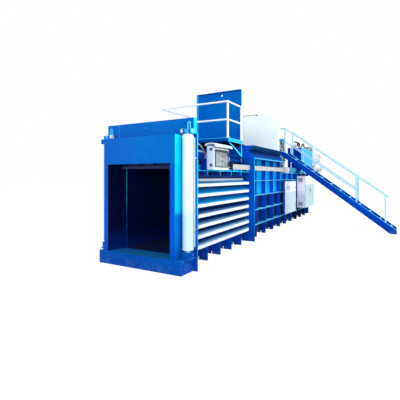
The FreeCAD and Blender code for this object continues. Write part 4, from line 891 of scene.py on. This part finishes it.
def makeWalkway(v):
    # Round foot flanges with bolts on a circle under each rail post, beads on the brackets, and thin rods in a painted
    # highlight cyan along the deck edges.
    top, edge = v["top"], v["edge"]
    profile = ((0.0, 0.046), (0.006, 0.046), (0.009, 0.04), (0.012, 0.026), (0.03, 0.0225))
    piece("railPostFeet", "walkRail", *[turned(profile, (x, y, top), "z", 24) for x, y in v["posts"]])
    spots = np.concatenate([onCircle((x, y, top + 0.008), "z", 0.035, np.array((0.5, 2.6, 4.7)))
                            for x, y in v["posts"]])
    piece("railPostBolts", "zinc", bolts("z", 0.006, 1, spots[spots[:, 1] > edge + 0.001]))
    piece("bracketWelds", "deck", beads(v["brackets"], 0.004), both=True)
    # rods in the painted highlight cyan along the deck edges
    lips = [rod((1.776, edge, 2.404), (2.529, edge, 2.404), 6, 0.005),
            rod((1.776, edge, 2.404), (1.776, 0.804, 2.404), 10, 0.005),
            rod((1.776, edge, 2.332), (2.529, edge, 2.332), 6, 0.004)]
    piece("deckEdgeHighlights", "edge", *lips)


stair = {"x": 6.2, "width": 0.67, "top": 2.39, "head": -0.846, "foot": -3.96, "low": 0.11, "count": 11}


def makeStair(v):
    # Tread i stands at top * (1 - (i + 1) / 12); its nose follows the stringer's line. Each gets a rolled
    # nosing in a painted highlight cyan, raised grip bars and two bolts through the stringer, and a painted
    # highlight line runs down the flanges.
    left, right, top, head, foot = v["x"], v["x"] + v["width"], v["top"], v["head"], v["foot"]
    slope = (head - foot) / (top - v["low"])
    noses, grips, spots = [], [], []
    for i in range(v["count"]):
        z = top - (i + 1) * top / (v["count"] + 1)
        y = head - (top - z) * slope
        noses.append(roundPlate(y - 0.006, z - 0.044, y + 0.022, z - 0.0105, 0.005, "x", left + 0.052, right - 0.052,
                                0.002))
        grips += [plate(roundRect(y + shift, z - 0.0125, y + shift + 0.012, z - 0.0085, 0.0015, 1), "x", left + 0.07,
                        right - 0.07, 0.001) for shift in (0.06, 0.105, 0.15, 0.195)]
        spots += [(y + shift, z - 0.027) for shift in (0.045, 0.11)]
    # the nosings take the painted highlight cyan
    piece("treadNosings", "edge", *noses)
    piece("treadGrips", "deepBlue", *grips)
    piece("treadBolts", "deepBlue", bolts("x", 0.01, -1, lift(spots, "x", left - 0.0005)),
          bolts("x", 0.01, 1, lift(spots, "x", right + 0.0005)))
    runs = []
    for x in (left + 0.001, right - 0.001):
        turn = (x, head, top - 0.001)
        runs += [rod((x, head + 0.14, top - 0.001), turn, 3, 0.006), rod(turn, (x, foot + 0.002, v["low"]), 24, 0.006)]
    # rods in the painted highlight cyan run down the stringer flanges
    piece("stringerHighlights", "edge", *runs)
    feet = [roundPlate(x - 0.02, foot + 0.002, x + 0.07, foot + 0.163, 0.012, "z", 0.0, 0.012)
            for x in (left, right - 0.05)]
    piece("stairFeet", "deepBlue", *feet)


hood = {"start": 0.905, "end": 1.66, "drop": 0.006, "lip": ((-1.054, 2.15), (-1.048, 2.16)),
        "outer": ((-0.84, 2.204), (-0.9, 2.222), (-0.98, 2.226), (-1.03, 2.212), (-1.056, 2.19), (-1.06, 2.164)),
        "inner": ((-1.046, 2.18), (-1.022, 2.192), (-0.976, 2.204), (-0.9, 2.2), (-0.85, 2.17), (-0.84, 2.168))}


def makeHood(v):
    # The rain hood's section is a smooth curve that falls to a turned lip; along its length both ends
    # drop by a sixth power of the distance from the middle.
    section = np.concatenate([flowing(v["outer"], 4), np.array(v["lip"]), flowing(v["inner"], 4)])
    start, end = v["start"], v["end"]
    stations = start + (end - start) * (0.5 - 0.5 * np.cos(np.linspace(0, np.pi, 21)))
    away = np.abs(stations - (start + end) / 2) / ((end - start) / 2)
    y, z = section.T
    rings = [np.stack([np.full(len(y), x), y, z - v["drop"] * d ** 6 + 0.003 * np.cos(d * 12) * (y < -1.0)], 1)
             for x, d in zip(stations, away)]
    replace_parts(piece("rainHood", "box", skin(rings), slot="box_white", smoothAngle=50), "control_box_roof")


control = {"x": (0.95, 1.615), "face": -0.9933, "pane": (1.016, 1.591, 1.782, 2.1), "lockX": 1.56,
           "locks": {"lower": 1.846, "upper": 2.026}, "clasps": (1.812, 2.1), "lamps": (1.9, 2.0),
           "lens": ((0.0, 0.026), (-0.008, 0.026), (-0.012, 0.021), (-0.018, 0.016), (-0.021, 0.006)),
           "gland": ((0.0, 0.024), (0.012, 0.024), (0.012, 0.02), (0.035, 0.02), (0.04, 0.016)),
           "conduit": ((1.612, -0.915, 1.79), (1.68, -0.915, 1.785), (1.82, -0.89, 1.755), (2.0, -0.83, 1.75),
                       (2.15, -0.775, 1.79), (2.265, -0.765, 1.815))}


def makeControlBox(v):
    # Gasket round the pane, a raised rim round the door, two clasps on the end, wing handles on the two
    # locks, a bezel, pale strips and two lamps on the panel, and a flexible conduit to the tray.
    (x0, x1, z0, z1), (left, right), face = v["pane"], v["x"], v["face"]
    gasket = border(roundRect(z0 - 0.006, x0 - 0.006, z1 + 0.006, x1 + 0.006, 0.024),
                    roundRect(z0 + 0.01, x0 + 0.026, z1 - 0.034, x1 - 0.008, 0.02), "y", face - 0.006, face + 0.006)
    piece("paneGasket", "gasket", gasket, body="control_door")
    rim = border(roundRect(1.727, left + 0.002, 2.132, right - 0.002, 0.012),
                 roundRect(1.737, left + 0.012, 2.122, right - 0.012, 0.008), "y", face - 0.004, face + 0.001)
    piece("doorRim", "box", rim, body="control_door")
    x = v["lockX"]
    for tag, z in v["locks"].items():
        hub = turned(((0.0, 0.015), (-0.012, 0.015), (-0.015, 0.012)), (x, face, z), "y", 20)
        wing = roundPlate(z - 0.042, x - 0.02, z + 0.042, x + 0.02, 0.016, "y", face - 0.024, face - 0.01)
        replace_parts(piece(tag + "LockHandle", "lock", hub, wing, body=tag + "_lock", slot="lock_plastic"),
                    "door_lock_" + tag)
    clasps = []
    for z in v["clasps"]:
        clasps += [roundPlate(-0.952, z - 0.024, -0.924, z + 0.024, 0.008, "x", 0.938, 0.952),
                   turned(((-0.03, 0.009), (0.03, 0.009)), (0.944, -0.968, z), "z", 12)]
    piece("boxClasps", "lock", *clasps)
    (x0, y0, z0), (x1, y1, z1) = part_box("operator_screen")
    bezel = border(roundRect(z0 - 0.012, x0 - 0.012, z1 + 0.012, x1 + 0.012, 0.012),
                   roundRect(z0 + 0.008, x0 + 0.008, z1 - 0.008, x1 - 0.008, 0.006), "y", -0.9555, -0.9345)
    piece("screenBezel", "box", bezel)
    lens = turned(v["lens"], (0, 0, 0), "y", 20)
    piece("panelLamps", "lens", repeated(lens, [(1.43, -0.935, z) for z in v["lamps"]]))
    piece("panelPaleStrips", "box", slab((1.0, -0.941, 2.072), (1.53, -0.934, 2.112), 0.003),
          slab((1.0, -0.941, 1.75), (1.36, -0.934, 1.815), 0.003))
    piece("boxConduit", "rubber", tube(flowing(v["conduit"], 5), 0.014))
    piece("conduitGland", "black", turned(v["gland"], v["conduit"][0], "x", 12),
          roundPlate(-0.799, 1.756, -0.731, 1.874, 0.006, "x", 2.244, 2.262))


def louvres(axis, level, u0, u1, v0, v1, count, out):
    # A pressed frame with slats: each slat narrows from its foot on the face to its outer side.
    outer = roundRect(u0, v0, u1, v1, 0.01)
    forms = [border(outer, inset(outer, 0.008), axis, level + out, level)]
    step = (v1 - v0 - 0.02) / count
    for low in v0 + 0.012 + np.arange(count) * step:
        flat = [(u0 + 0.01, low), (u1 - 0.01, low), (u1 - 0.01, low + step * 0.45), (u0 + 0.01, low + step * 0.45)]
        forms.append(skin([lift(flat, axis, level), lift(inset(flat, 0.002), axis, level + out)]))
    return join(*forms)


sideDoor = {"face": -0.8233, "edges": (0.365, 6.38, 1.44, 7.72), "vent": (1.145, 1.28, 6.55, 6.93), "slats": 9,
            "hinges": (0.5, 0.9, 1.3), "latchX": 7.66, "latches": (0.6, 1.2)}


def makeSideCabinet(v):
    # Louvre, hinge barrels and two quarter-turn latches on the side cabinet's door.
    face, x, (z0, x0, z1, x1) = v["face"], v["latchX"], v["edges"]
    piece("sideDoorVent", "ventPale", louvres("y", face, *v["vent"], v["slats"], -0.006), body="side_door")
    hinges = [turned(((-0.05, 0.011), (0.05, 0.011), (0.054, 0.007)), (x0 - 0.003, face + 0.012, z), "z", 12)
              for z in v["hinges"]]
    piece("sideDoorHinges", "cabinet", *hinges, body="side_door")
    latches = []
    for z in v["latches"]:
        latches += [turned(((0.0, 0.016), (-0.008, 0.016), (-0.01, 0.012)), (x, face, z), "y", 16),
                    slab((x - 0.004, face - 0.014, z - 0.013), (x + 0.004, face - 0.008, z + 0.013), 0.001)]
    piece("sideDoorLatches", "lock", *latches, body="side_door")
    piece("sideDoorRim", "cabinet", doorRim(z0 + 0.002, x0 + 0.002, z1 - 0.002, x1 - 0.002, face), body="side_door")


cabinet = {"grilleX": 8.06, "grilles": (0.5, 1.39), "face": -1.1083, "hinges": (0.62, 1.02, 1.42),
           "doors": {"front": (8.062, 8.783, 8.057), "rear": (8.787, 9.508, 9.513)}, "cables": (8.3, 8.42, 8.54)}


def makeElectricCabinet(v):
    # Louvre grilles on the end that faces the mouth, hinge barrels, door rims, a roof plate, and cables
    # on splines from three turned glands.
    face = v["face"]
    grilles = [louvres("x", v["grilleX"], -0.995, -0.835, z, z + 0.165, 7, -0.008) for z in v["grilles"]]
    piece("cabinetGrilles", "grille", *grilles)
    for tag, (x0, x1, hinge) in v["doors"].items():
        barrels = [turned(((-0.045, 0.01), (0.045, 0.01), (0.049, 0.006)), (hinge, face + 0.01, z), "z", 12)
                   for z in v["hinges"]]
        piece(tag + "DoorTrim", "pale", doorRim(0.452, x0, 1.598, x1, face), *barrels, body="cabinet_door_" + tag)
    piece("cabinetRoof", "vent", roundPlate(8.045, -1.1, 9.525, -0.785, 0.01, "z", 1.6, 1.612))
    profile = ((0.0, 0.026), (0.012, 0.026), (0.012, 0.02), (0.04, 0.02), (0.046, 0.014))
    piece("cabinetGlands", "black", *[turned(profile, (x, -0.95, 1.612), "z", 12) for x in v["cables"]])
    bend = ((0.0, -0.95, 1.64), (0.0, -0.95, 1.7), (-0.02, -0.92, 1.75), (-0.05, -0.82, 1.77), (-0.1, -0.72, 1.76))
    cables = [tube(flowing(np.array(bend) + (x, 0, 0), 5), 0.012, 10) for x in v["cables"]]
    piece("cabinetCables", "rubber", *cables)


tray = {"low": 1.757, "high": 1.878, "lids": ((2.262, -0.798, 3.28, -0.732), (3.312, -0.7925, 6.449, -0.72))}


def makeTrays(v):
    # Flat lids, and a strap clip round the tray at every joint.
    low, high = v["low"], v["high"]
    lids = [slab((x0, y0, high - 0.009), (x1, y1, high - 0.002), 0.002) for x0, y0, x1, y1 in v["lids"]]
    piece("trayLids", "tray", *lids)
    straps = []
    for x, y0, y1 in [(x, -0.7985, -0.7315) for x in (2.6, 2.95)] + [(x, -0.7925, -0.72)
                                                                   for x in np.arange(3.7, 6.4, 0.45)]:
        flat = [(y0, low), (y1, low), (y1, high), (y0, high)]
        straps.append(border(flat, inset(flat, 0.0045), "x", x, x + 0.03))
    piece("trayClips", "tray", *straps)


tank = {"low": (8.25, -0.9, 1.8), "high": (10.3, -0.38, 2.69), "lids": ((9.24, 9.5), (9.62, 9.98)),
        "drain": (9.6, -0.9, 1.9), "capRings": (((8.41, -0.54, 2.69), 0.05, 0.074, 0.02, 0.03),
                                                ((8.67, -0.53, 2.69), 0.078, 0.086, 0.06, 0.075),
                                                ((8.67, -0.53, 2.69), 0.078, 0.086, 0.1, 0.115))}


def makeTank(v):
    # Bolted lids with seals, a sight glass, a drain plug, beads along the edges and rings on the caps.
    (x0, y0, z0), (x1, y1, z1) = v["low"], v["high"]
    lids, seals, spots = [], [], []
    for left, right in v["lids"]:
        lids.append(roundPlate(left, -0.62, right, -0.42, 0.03, "z", z1 + 0.004, z1 + 0.016))
        seals.append(roundPlate(left - 0.004, -0.624, right + 0.004, -0.416, 0.03, "z", z1, z1 + 0.005, 0.001))
        spots += [(x, y, z1 + 0.016) for x in np.linspace(left + 0.03, right - 0.03, 4) for y in (-0.6, -0.44)]
    piece("tankLids", "tank", *lids)
    piece("tankLidSeals", "rubber", *seals)
    piece("tankLidBolts", "zinc", bolts("z", 0.009, 1, spots))
    piece("levelGaugeFrame", "zinc", roundPlate(2.05, 8.5, 2.45, 8.56, 0.02, "y", y0 - 0.012, y0 + 0.001))
    piece("levelGaugeTube", "gaugeOil", roundPlate(2.09, 8.515, 2.41, 8.545, 0.01, "y", y0 - 0.02, y0 - 0.01))
    piece("tankDrain", "zinc", turned(((0.0, 0.03), (-0.02, 0.03), (-0.024, 0.026)), v["drain"], "y", 20),
          turned(((-0.02, 0.02), (-0.05, 0.02), (-0.053, 0.016)), v["drain"], "y", 6))
    foot = z0 + 0.02
    runs = [(x0 + 0.03, y0 - 0.001, foot, x1 - 0.03, y0 - 0.001, foot),
            (x0 - 0.001, y0 + 0.03, foot, x0 - 0.001, y1 - 0.03, foot),
            *[(x0 + 0.02, y, z1, x1 - 0.02, y, z1) for y in (y0 + 0.003, y1 - 0.003)]]
    piece("tankWelds", "tank", beads(runs, 0.005))
    piece("tankCapRings", "zinc", *[ring(row[0], "z", *row[1:], 28, 0.002) for row in v["capRings"]])


motor = {"centre": (10.3, -0.85, 2.4), "fins": 36, "finOut": 0.238, "finIn": 0.212, "slots": 24,
         "flange": ((0.0, 0.27), (0.022, 0.27), (0.028, 0.264), (0.03, 0.235), (0.06, 0.226)),
         "cowl": ((0.48, 0.22), (0.485, 0.246), (0.5, 0.25), (0.6, 0.25), (0.622, 0.242), (0.634, 0.222), (0.64, 0.19),
                  (0.64, 0.05)), "louvres": (2.45, 2.65, 2.85, 3.05, 3.6, 3.8)}


def makeMotor(v):
    # A finned motor: the body's section is a circle whose radius steps out at each of 36 fins; a turned
    # flange in front, and a domed cowl whose end has a dark ring of air slots.
    x, y, z = centre = v["centre"]
    barrel = finned((x + 0.05, y, z), v["finOut"], v["finIn"], v["fins"], 0.44)
    feet = [slab((x + 0.08, y + low, 1.8), (x + 0.12, y + low + 0.06, z - 0.17)) for low in (-0.18, 0.12)]
    terminal = roundPlate(x + 0.18, y - 0.09, x + 0.38, y + 0.09, 0.02, "z", z + 0.21, z + 0.318, 0.008)
    bend = ((0.0, 0.22), (-0.035, 0.27), (0.0, 0.305), (0.035, 0.27), (0.0, 0.22))
    eye = tube(flowing([(x + 0.12, y + across, z + up) for across, up in bend], 4), 0.009, 8)
    whole = piece("mainMotor", "motorWhite", barrel, turned(v["flange"], centre, "x", 40),
                  turned(v["cowl"], centre, "x", 40), *feet, terminal, eye, slot="motor_white")
    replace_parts(whole, "pump_motor")
    rounds = [onCircle(centre, "x", radius, evenTurns(v["slots"]), 0.641) for radius in (0.075, 0.12, 0.175)]
    slots = [tube(path, (0.004, 0.006, 0.008), 6) for path in np.stack(rounds, 1)]
    piece("motorAirSlots", "black", *slots)
    turns = np.array(v["louvres"])
    louvre = [rod(start, end, 3, 0.02) for start, end in zip(onCircle(centre, "x", 0.25, turns, 0.52),
                                                             onCircle(centre, "x", 0.249, turns, 0.61))]
    piece("motorLouvres", "black", *louvre)
    piece("motorFlangeBolts", "zinc", bolts("x", 0.012, 1, onCircle(centre, "x", 0.25, evenTurns(8, 0.39), 0.03)))


cooler = {"x": 10.44, "y": -0.9, "z": 1.95, "radius": 0.12, "bands": 6, "ports": (10.62, 11.6), "domes": (
    (10.427, ((0.0, 0.1), (-0.012, 0.098), (-0.022, 0.08), (-0.026, 0.05))),
    (11.838, ((0.0, 0.1), (0.004, 0.098), (0.012, 0.08), (0.014, 0.05))))}


def makeCooler(v):
    # End bolts in a ring, baffle bands round the shell, and two capped ports on top.
    y, z, radius = v["y"], v["z"], v["radius"]
    bands = [ring((v["x"], y, z), "x", radius - 0.002, radius + 0.004, 0.1 + 0.24 * i, 0.125 + 0.24 * i, 32, 0.002)
             for i in range(v["bands"])]
    piece("coolerBands", "silver", *bands)
    piece("coolerDomes", "silver", *[turned(profile, (x, y, z), "x", 32) for x, profile in v["domes"]])
    piece("coolerBolts", "zinc", bolts("x", 0.01, 1, onCircle((11.84, y, z), "x", 0.116, evenTurns(10))))
    profile = ((0.0, 0.034), (0.04, 0.034), (0.042, 0.045), (0.056, 0.045), (0.058, 0.04))
    piece("coolerPorts", "zinc", *[turned(profile, (x, y, z + 0.1), "z", 20) for x in v["ports"]])


pump = {"y": -0.69, "z": 1.832, "fins": 28, "finOut": 0.084, "finIn": 0.073,
        "neck": ((0.0, 0.06), (0.06, 0.06), (0.062, 0.075), (0.125, 0.075), (0.13, 0.07)),
        "cowl": ((0.0, 0.086), (0.004, 0.092), (0.15, 0.092), (0.178, 0.082), (0.182, 0.06), (0.18, 0.02))}


def makeCirculationSet(v):
    # White pump block with a cover plate and a turned neck, a light-blue finned motor on a foot, a black cowl.
    y, z = v["y"], v["z"]
    block = (slab((6.58, -0.77, 1.72), (7.01, -0.61, 1.916), 0.012),
             roundPlate(-0.75, 1.745, -0.63, 1.895, 0.02, "x", 6.57, 6.582), turned(v["neck"], (7.01, y, z), "x", 28))
    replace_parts(piece("circulationBlock", "white", *block, slot="motor_white"), "circulation_pump")
    spots = [(6.57, across, up) for across in (-0.735, -0.645) for up in (1.76, 1.88)]
    piece("circulationBolts", "zinc", bolts("x", 0.009, -1, spots))
    shell = (finned((7.15, y, z), v["finOut"], v["finIn"], v["fins"], 0.8),
             turned(((0.0, 0.09), (0.016, 0.09), (0.02, 0.086)), (7.135, y, z), "x", 32),
             slab((7.28, -0.75, 1.72), (7.7, -0.63, 1.775), 0.006),
             slab((7.4, -0.735, 1.9), (7.58, -0.645, 1.924), 0.006))
    piece("circulationMotor", "pump", *shell, slot="pump_blue")
    piece("circulationCowl", "black", turned(v["cowl"], (7.96, y, z), "x", 32), slot="black_plastic")


valves = {"coilX": 6.485, "coils": (2.14, 2.215, 2.29), "plates": (2.1, 2.1775, 2.2525, 2.33),
          "coil": ((-0.1, 0.022), (-0.096, 0.03), (-0.03, 0.03), (-0.026, 0.022), (0.0, 0.022)),
          "pipeShifts": (0.0, 0.05),
          "gauge": ((0.0, 0.012), (-0.05, 0.012), (-0.05, 0.04), (-0.075, 0.042), (-0.08, 0.038)),
          "pipe": ((6.44, -0.62, 2.1), (6.44, -0.66, 2.04), (6.4, -0.74, 1.98), (6.36, -0.76, 1.9),
                   (6.36, -0.76, 1.86)),
          "relief": ((6.56, -0.66, 2.22), (6.66, -0.68, 2.22), (6.7, -0.7, 2.16), (6.7, -0.7, 1.98), (6.7, -0.7, 1.9))}


def makeValves(v):
    # Turned coils with nuts, steel plates between the blocks, silver pipes down to the tray on splines,
    # a gauge, and the hexagon unions that take the tie hoses.
    spots = [(v["coilX"], -0.69, z) for z in v["coils"]]
    piece("valveCoils", "black", *[turned(v["coil"], spot, "y", 20) for spot in spots])
    nut = ((-0.112, 0.012), (-0.104, 0.016), (-0.1, 0.016))
    piece("valveCoilNuts", "zinc", *[turned(nut, spot, "y", 6) for spot in spots])
    plates = [slab((6.396, -0.694, z - 0.006), (6.574, -0.526, z + 0.006), 0.002) for z in v["plates"]]
    piece("valvePlates", "steel", *plates)
    pipes = [tube(flowing(np.array(v["pipe"]) + (shift, 0, 0)), 0.017) for shift in v["pipeShifts"]]
    piece("valvePipes", "silver", *pipes, tube(flowing(v["relief"]), 0.016))
    piece("pressureGauge", "steel", turned(v["gauge"], (6.6, -0.66, 2.3), "y", 24))
    union = ((0.0, 0.022), (0.016, 0.022), (0.018, 0.018), (0.034, 0.018))
    piece("manifoldUnions", "zinc", *[turned(union, (x, -0.657, 1.942), "z", 6) for x in (1.27, 1.37)], both=True)


stand = {"x": 7.3, "y": -0.44, "low": 1.72, "high": 2.94, "half": 0.072, "step": 0.112,
         "lead": ((-0.01, -0.05, 2.44), (-0.03, -0.02, 2.55), (-0.03, 0.02, 2.66), (-0.008, 0.05, 2.78))}


def makeValveStand(v):
    # The dark directional-valve stand behind the landing: stacked blocks with bright gaps and tie bolts,
    # and a blue coil cap on top.
    x, y, half, low = v["x"], v["y"], v["half"], v["low"]

    def layer(reach, radius, bottom, top, edge):
        # a square plate about the stand's axis, from bottom to top
        return roundPlate(x - reach, y - reach, x + reach, y + reach, radius, "z", bottom, top, edge)

    blocks = [layer(half, 0.008, z, z + 0.1, 0.004) for z in np.arange(2.38, 2.84, v["step"])]
    piece("standBlocks", "black", *blocks)
    gaps = [layer(half - 0.006, 0.006, z, z + 0.014, 0.002) for z in np.arange(2.479, 2.83, v["step"])]
    piece("standGaps", "silver", *gaps)
    piece("standColumn", "blue", layer(0.05, 0.012, low, 2.385, 0.004), layer(0.11, 0.02, low, low + 0.016, 0.004))
    piece("standCap", "capBlue", layer(half + 0.004, 0.016, 2.84, v["high"], 0.01))
    rods = [rod((x + across, y + along, 2.4), (x + across, y + along, 2.83), 3, 0.007)
            for across in (-half - 0.003, half + 0.003) for along in (0.02 - half, half - 0.02)]
    lead = tube(flowing(np.array(v["lead"]) + (x - half, y, 0), 5), 0.01, 10)
    piece("standRods", "zinc", *rods, lead)


hoses = {
    "tieRadius": 0.0155,
    "tie": (((0.348, -0.905, 2.179), (0.45, -0.905, 2.18), (0.6, -0.895, 2.172), (0.85, -0.82, 2.12),
             (1.08, -0.72, 2.085), (1.24, -0.66, 2.06), (1.27, -0.657, 2.01), (1.27, -0.657, 1.962)),
            ((0.348, -0.905, 2.04), (0.45, -0.905, 2.042), (0.62, -0.895, 2.05), (0.9, -0.81, 2.05),
             (1.16, -0.71, 2.055), (1.33, -0.66, 2.04), (1.37, -0.657, 2.0), (1.37, -0.657, 1.962))),
    "return": (((8.41, -0.54, 2.795), (8.41, -0.54, 2.87), (8.38, -0.54, 2.92), (8.28, -0.54, 2.95),
                (8.17, -0.54, 2.91), (8.15, -0.54, 2.8), (8.15, -0.54, 2.4), (8.15, -0.54, 1.9),
                (8.15, -0.54, 1.725)), 0.019),
    "pack": (  # filter, its twin, crossover, tank edge, motor and low hose, each with its radius
        (((8.67, -0.53, 2.83), (8.67, -0.53, 2.89), (8.7, -0.53, 2.95), (8.82, -0.54, 2.975), (9.02, -0.55, 2.97),
          (9.15, -0.56, 2.93), (9.18, -0.56, 2.82), (9.18, -0.56, 2.7)), 0.028),
        (((8.8, -0.62, 2.7), (8.8, -0.62, 2.82), (8.84, -0.62, 2.92), (8.95, -0.63, 2.95), (9.06, -0.64, 2.91),
          (9.1, -0.64, 2.8), (9.1, -0.64, 2.7)), 0.026),
        (((9.28, -0.68, 2.7), (9.28, -0.68, 2.8), (9.32, -0.68, 2.9), (9.44, -0.69, 2.94), (9.56, -0.7, 2.9),
          (9.6, -0.7, 2.8), (9.6, -0.7, 2.7)), 0.026),
        (((8.84, -0.8, 2.7), (8.84, -0.81, 2.74), (8.9, -0.83, 2.755), (9.3, -0.86, 2.745), (9.8, -0.87, 2.745),
          (10.2, -0.86, 2.74), (10.4, -0.855, 2.72), (10.44, -0.85, 2.7)), 0.024),
        (((9.7, -0.78, 2.695), (9.7, -0.78, 2.78), (9.78, -0.79, 2.83), (10.1, -0.81, 2.85), (10.42, -0.84, 2.83),
          (10.52, -0.85, 2.78), (10.52, -0.85, 2.72)), 0.02),
        (((6.485, -0.61, 2.085), (6.485, -0.61, 2.03), (6.52, -0.62, 1.99), (6.6, -0.65, 1.99), (6.67, -0.685, 1.98),
          (6.69, -0.69, 1.95), (6.69, -0.69, 1.92)), 0.017)),
}


def crimped(points, radius):
    # A hose on a cubic B-spline with a pressed collar at each end: the collar follows the first and last
    # stretches of the same path, a fifth wider.
    path = flowing(points)
    ends = []
    for part in (path, path[::-1]):
        run = np.cumsum(np.r_[0, np.linalg.norm(np.diff(part, axis=0), axis=1)])
        stops = np.linspace(0.0, min(0.085, 0.3 * run[-1]), 4)
        ends.append(tube(np.stack([np.interp(stops, run, part[:, k]) for k in range(3)], 1), radius * 1.22))
    return tube(path, radius, 14), join(*ends)


def makeHoses(v):
    # Tie-cylinder hoses fall from the ports to the manifolds; the pack's hoses rise in loops above the tank.
    braided, collars = zip(*[crimped(points, v["tieRadius"]) for points in v["tie"]])
    piece("tieHoses", "braid", *braided, slot="hose_rubber", both=True)
    piece("tieHoseCollars", "zinc", *collars, both=True)
    dark, ends = zip(*[crimped(points, radius) for points, radius in v["pack"]])
    rubber = piece("packHoses", "rubber", *dark, slot="hose_rubber")
    pipe, pipeEnds = crimped(*v["return"])
    piece("returnPipe", "silver", pipe)
    piece("hoseCollars", "zinc", *ends, pipeEnds)
    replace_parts(rubber, "oil_hoses")


ram = {"strips": (0.34, 0.95, 1.55), "axis": 0.945, "boltCircle": 0.142, "bolts": 10,
       "collar": ((0.0, 0.17), (0.03, 0.17), (0.036, 0.164), (0.036, 0.12), (0.06, 0.112), (0.06, 0.101))}


def makeRam(v):
    # Bolt-on wear strips on the ram's long edges, and a rod collar with bolts on a circle.
    strips = [slab((6.2, -0.572, z - 0.04), (6.97, -0.566, z + 0.04), 0.001) for z in v["strips"]]
    piece("ramWearStrips", "steel", *strips, body="ram", both=True)
    piece("ramRodCollar", "blue", turned(v["collar"], (7.01, 0, v["axis"]), "x", 40), body="ram")
    spots = onCircle((7.046, 0, v["axis"]), "x", v["boltCircle"], evenTurns(v["bolts"]))
    piece("ramRodBolts", "zinc", bolts("x", 0.014, 1, spots), body="ram")


makeMouthFrame(frameWeld, sill)
makeTieCylinders(tie)
makePinRetainers(tie)
makeCrosshead(head)
makeChannel(channel)
makeChamber(chamber)
makeTail(tail)
makeRoof(roof)
print("frame, channel and chamber pieces made")
makeHopper(hopper)
makeTallPlate(tall)
makeWalkway(walk)
makeStair(stair)
print("hopper, walkway and stair pieces made")
makeHood(hood)
makeControlBox(control)
makeSideCabinet(sideDoor)
makeElectricCabinet(cabinet)
makeTrays(tray)
print("cabinet pieces made")
makeTank(tank)
makeMotor(motor)
makeCooler(cooler)
makeCirculationSet(pump)
makeValves(valves)
makeValveStand(stand)
makeHoses(hoses)
makeRam(ram)
print("power pack and ram pieces made")

view = {"spot": (-4.433, -3.81, 1.6), "azimuth": 29.92, "focal": 331.4, "horizon": 176.5, "picture": 400, "far": 200}
eye = bpy.data.cameras.new("photoCamera")
eye.sensor_width = 36
eye.lens = view["focal"] / view["picture"] * 36
eye.shift_y = -(view["picture"] / 2 - view["horizon"]) / view["picture"]
eye.clip_end = view["far"]
cameraObject = bpy.data.objects.new("photoCamera", eye)
cameraObject.location = view["spot"]
cameraObject.rotation_euler = (math.radians(90), 0, math.radians(view["azimuth"] - 90))
bpy.context.scene.collection.objects.link(cameraObject)
bpy.context.scene.camera = cameraObject

lamps = {  # spot, aim, size and power
    "key": ((7.0, -9.5, 15.5), (4.5, -0.5, 1.2), 3.0, 1850),
    "mouth": ((-30.0, -9.0, 9.0), (5.0, 0.0, 1.8), 14.0, 5200),
    "left": ((-7.0, 6.0, 3.2), (0.2, 0.9, 2.0), 3.0, 80),
    "low": ((3.0, -14.0, 1.3), (3.0, 0.0, 1.4), 4.0, 420),
    "corner": ((-9.0, -11.0, 3.5), (3.0, -1.0, 1.2), 6.0, 420),
    "far": ((6.0, 12.0, 8.0), (5.0, 0.0, 1.5), 9.0, 600),
    "tail": ((21.0, 2.0, 6.0), (9.0, 0.0, 1.5), 7.0, 450),
}
studio = {"worldLevel": 0.62, "worldColour": (0.95, 0.98, 1.0), "floorGlow": 1.4, "floorShare": 0.6,
          "floorColour": (0.8, 0.81, 0.82), "white": (1.0, 1.0, 1.0), "reach": 60.0}

for name, (spot, aim, size, power) in lamps.items():
    # a square soft box that looks from its spot to its aim
    lamp = bpy.data.lights.new(name + "Lamp", "AREA")
    lamp.size, lamp.energy = size, power
    holder = bpy.data.objects.new(name + "Lamp", lamp)
    across, ahead, up = np.array(aim) - spot
    holder.location = spot
    holder.rotation_euler = (math.pi / 2 + math.atan2(up, math.hypot(across, ahead)), 0,
                             math.atan2(ahead, across) - math.pi / 2)
    bpy.context.scene.collection.objects.link(holder)

# The camera, metal and glass see a white backdrop, and the object is lit by the world's own level.
world = bpy.context.scene.world = bpy.data.worlds.new("studio")
sky = Graph(world, "ShaderNodeOutputWorld")
seen, through, gloss = [sky.make("ShaderNodeLightPath", out=ray)
                        for ray in ("Is Camera Ray", "Is Transmission Ray", "Is Glossy Ray")]
ownLight = sky.make("ShaderNodeBackground", inputs=[studio["worldColour"], studio["worldLevel"]])
backdrop = sky.make("ShaderNodeBackground", inputs=[studio["white"], 1.0])
mask = seen.math("MAXIMUM", through.math("MAXIMUM", gloss))
sky.plug(sky.surface, sky.make("ShaderNodeMixShader", inputs=[mask, ownLight, backdrop]))

floorMesh = bpy.data.meshes.new("studioFloor")
corners = [(x * studio["reach"], y * studio["reach"], 0) for x, y in ((-1, -1), (1, -1), (1, 1), (-1, 1))]
floorMesh.from_pydata(corners, [], [(0, 1, 2, 3)])
floor = bpy.data.objects.new("studioFloor", floorMesh)
bpy.context.scene.collection.objects.link(floor)
floorFinish = Finish("studioFloor")
glow = floorFinish.make("ShaderNodeEmission", inputs=[studio["white"], studio["floorGlow"]])
dull = floorFinish.make("ShaderNodeBsdfDiffuse", inputs=[studio["floorColour"]])
seen = floorFinish.make("ShaderNodeLightPath", out="Is Camera Ray")
lit = floorFinish.make("ShaderNodeMixShader", inputs=[seen * studio["floorShare"], dull, glow])
floorFinish.plug(floorFinish.surface, lit)
floorMesh.materials.append(floorFinish.mat)
bpy.context.scene.view_settings.view_transform = "Standard"
print("camera, floor and light ready")
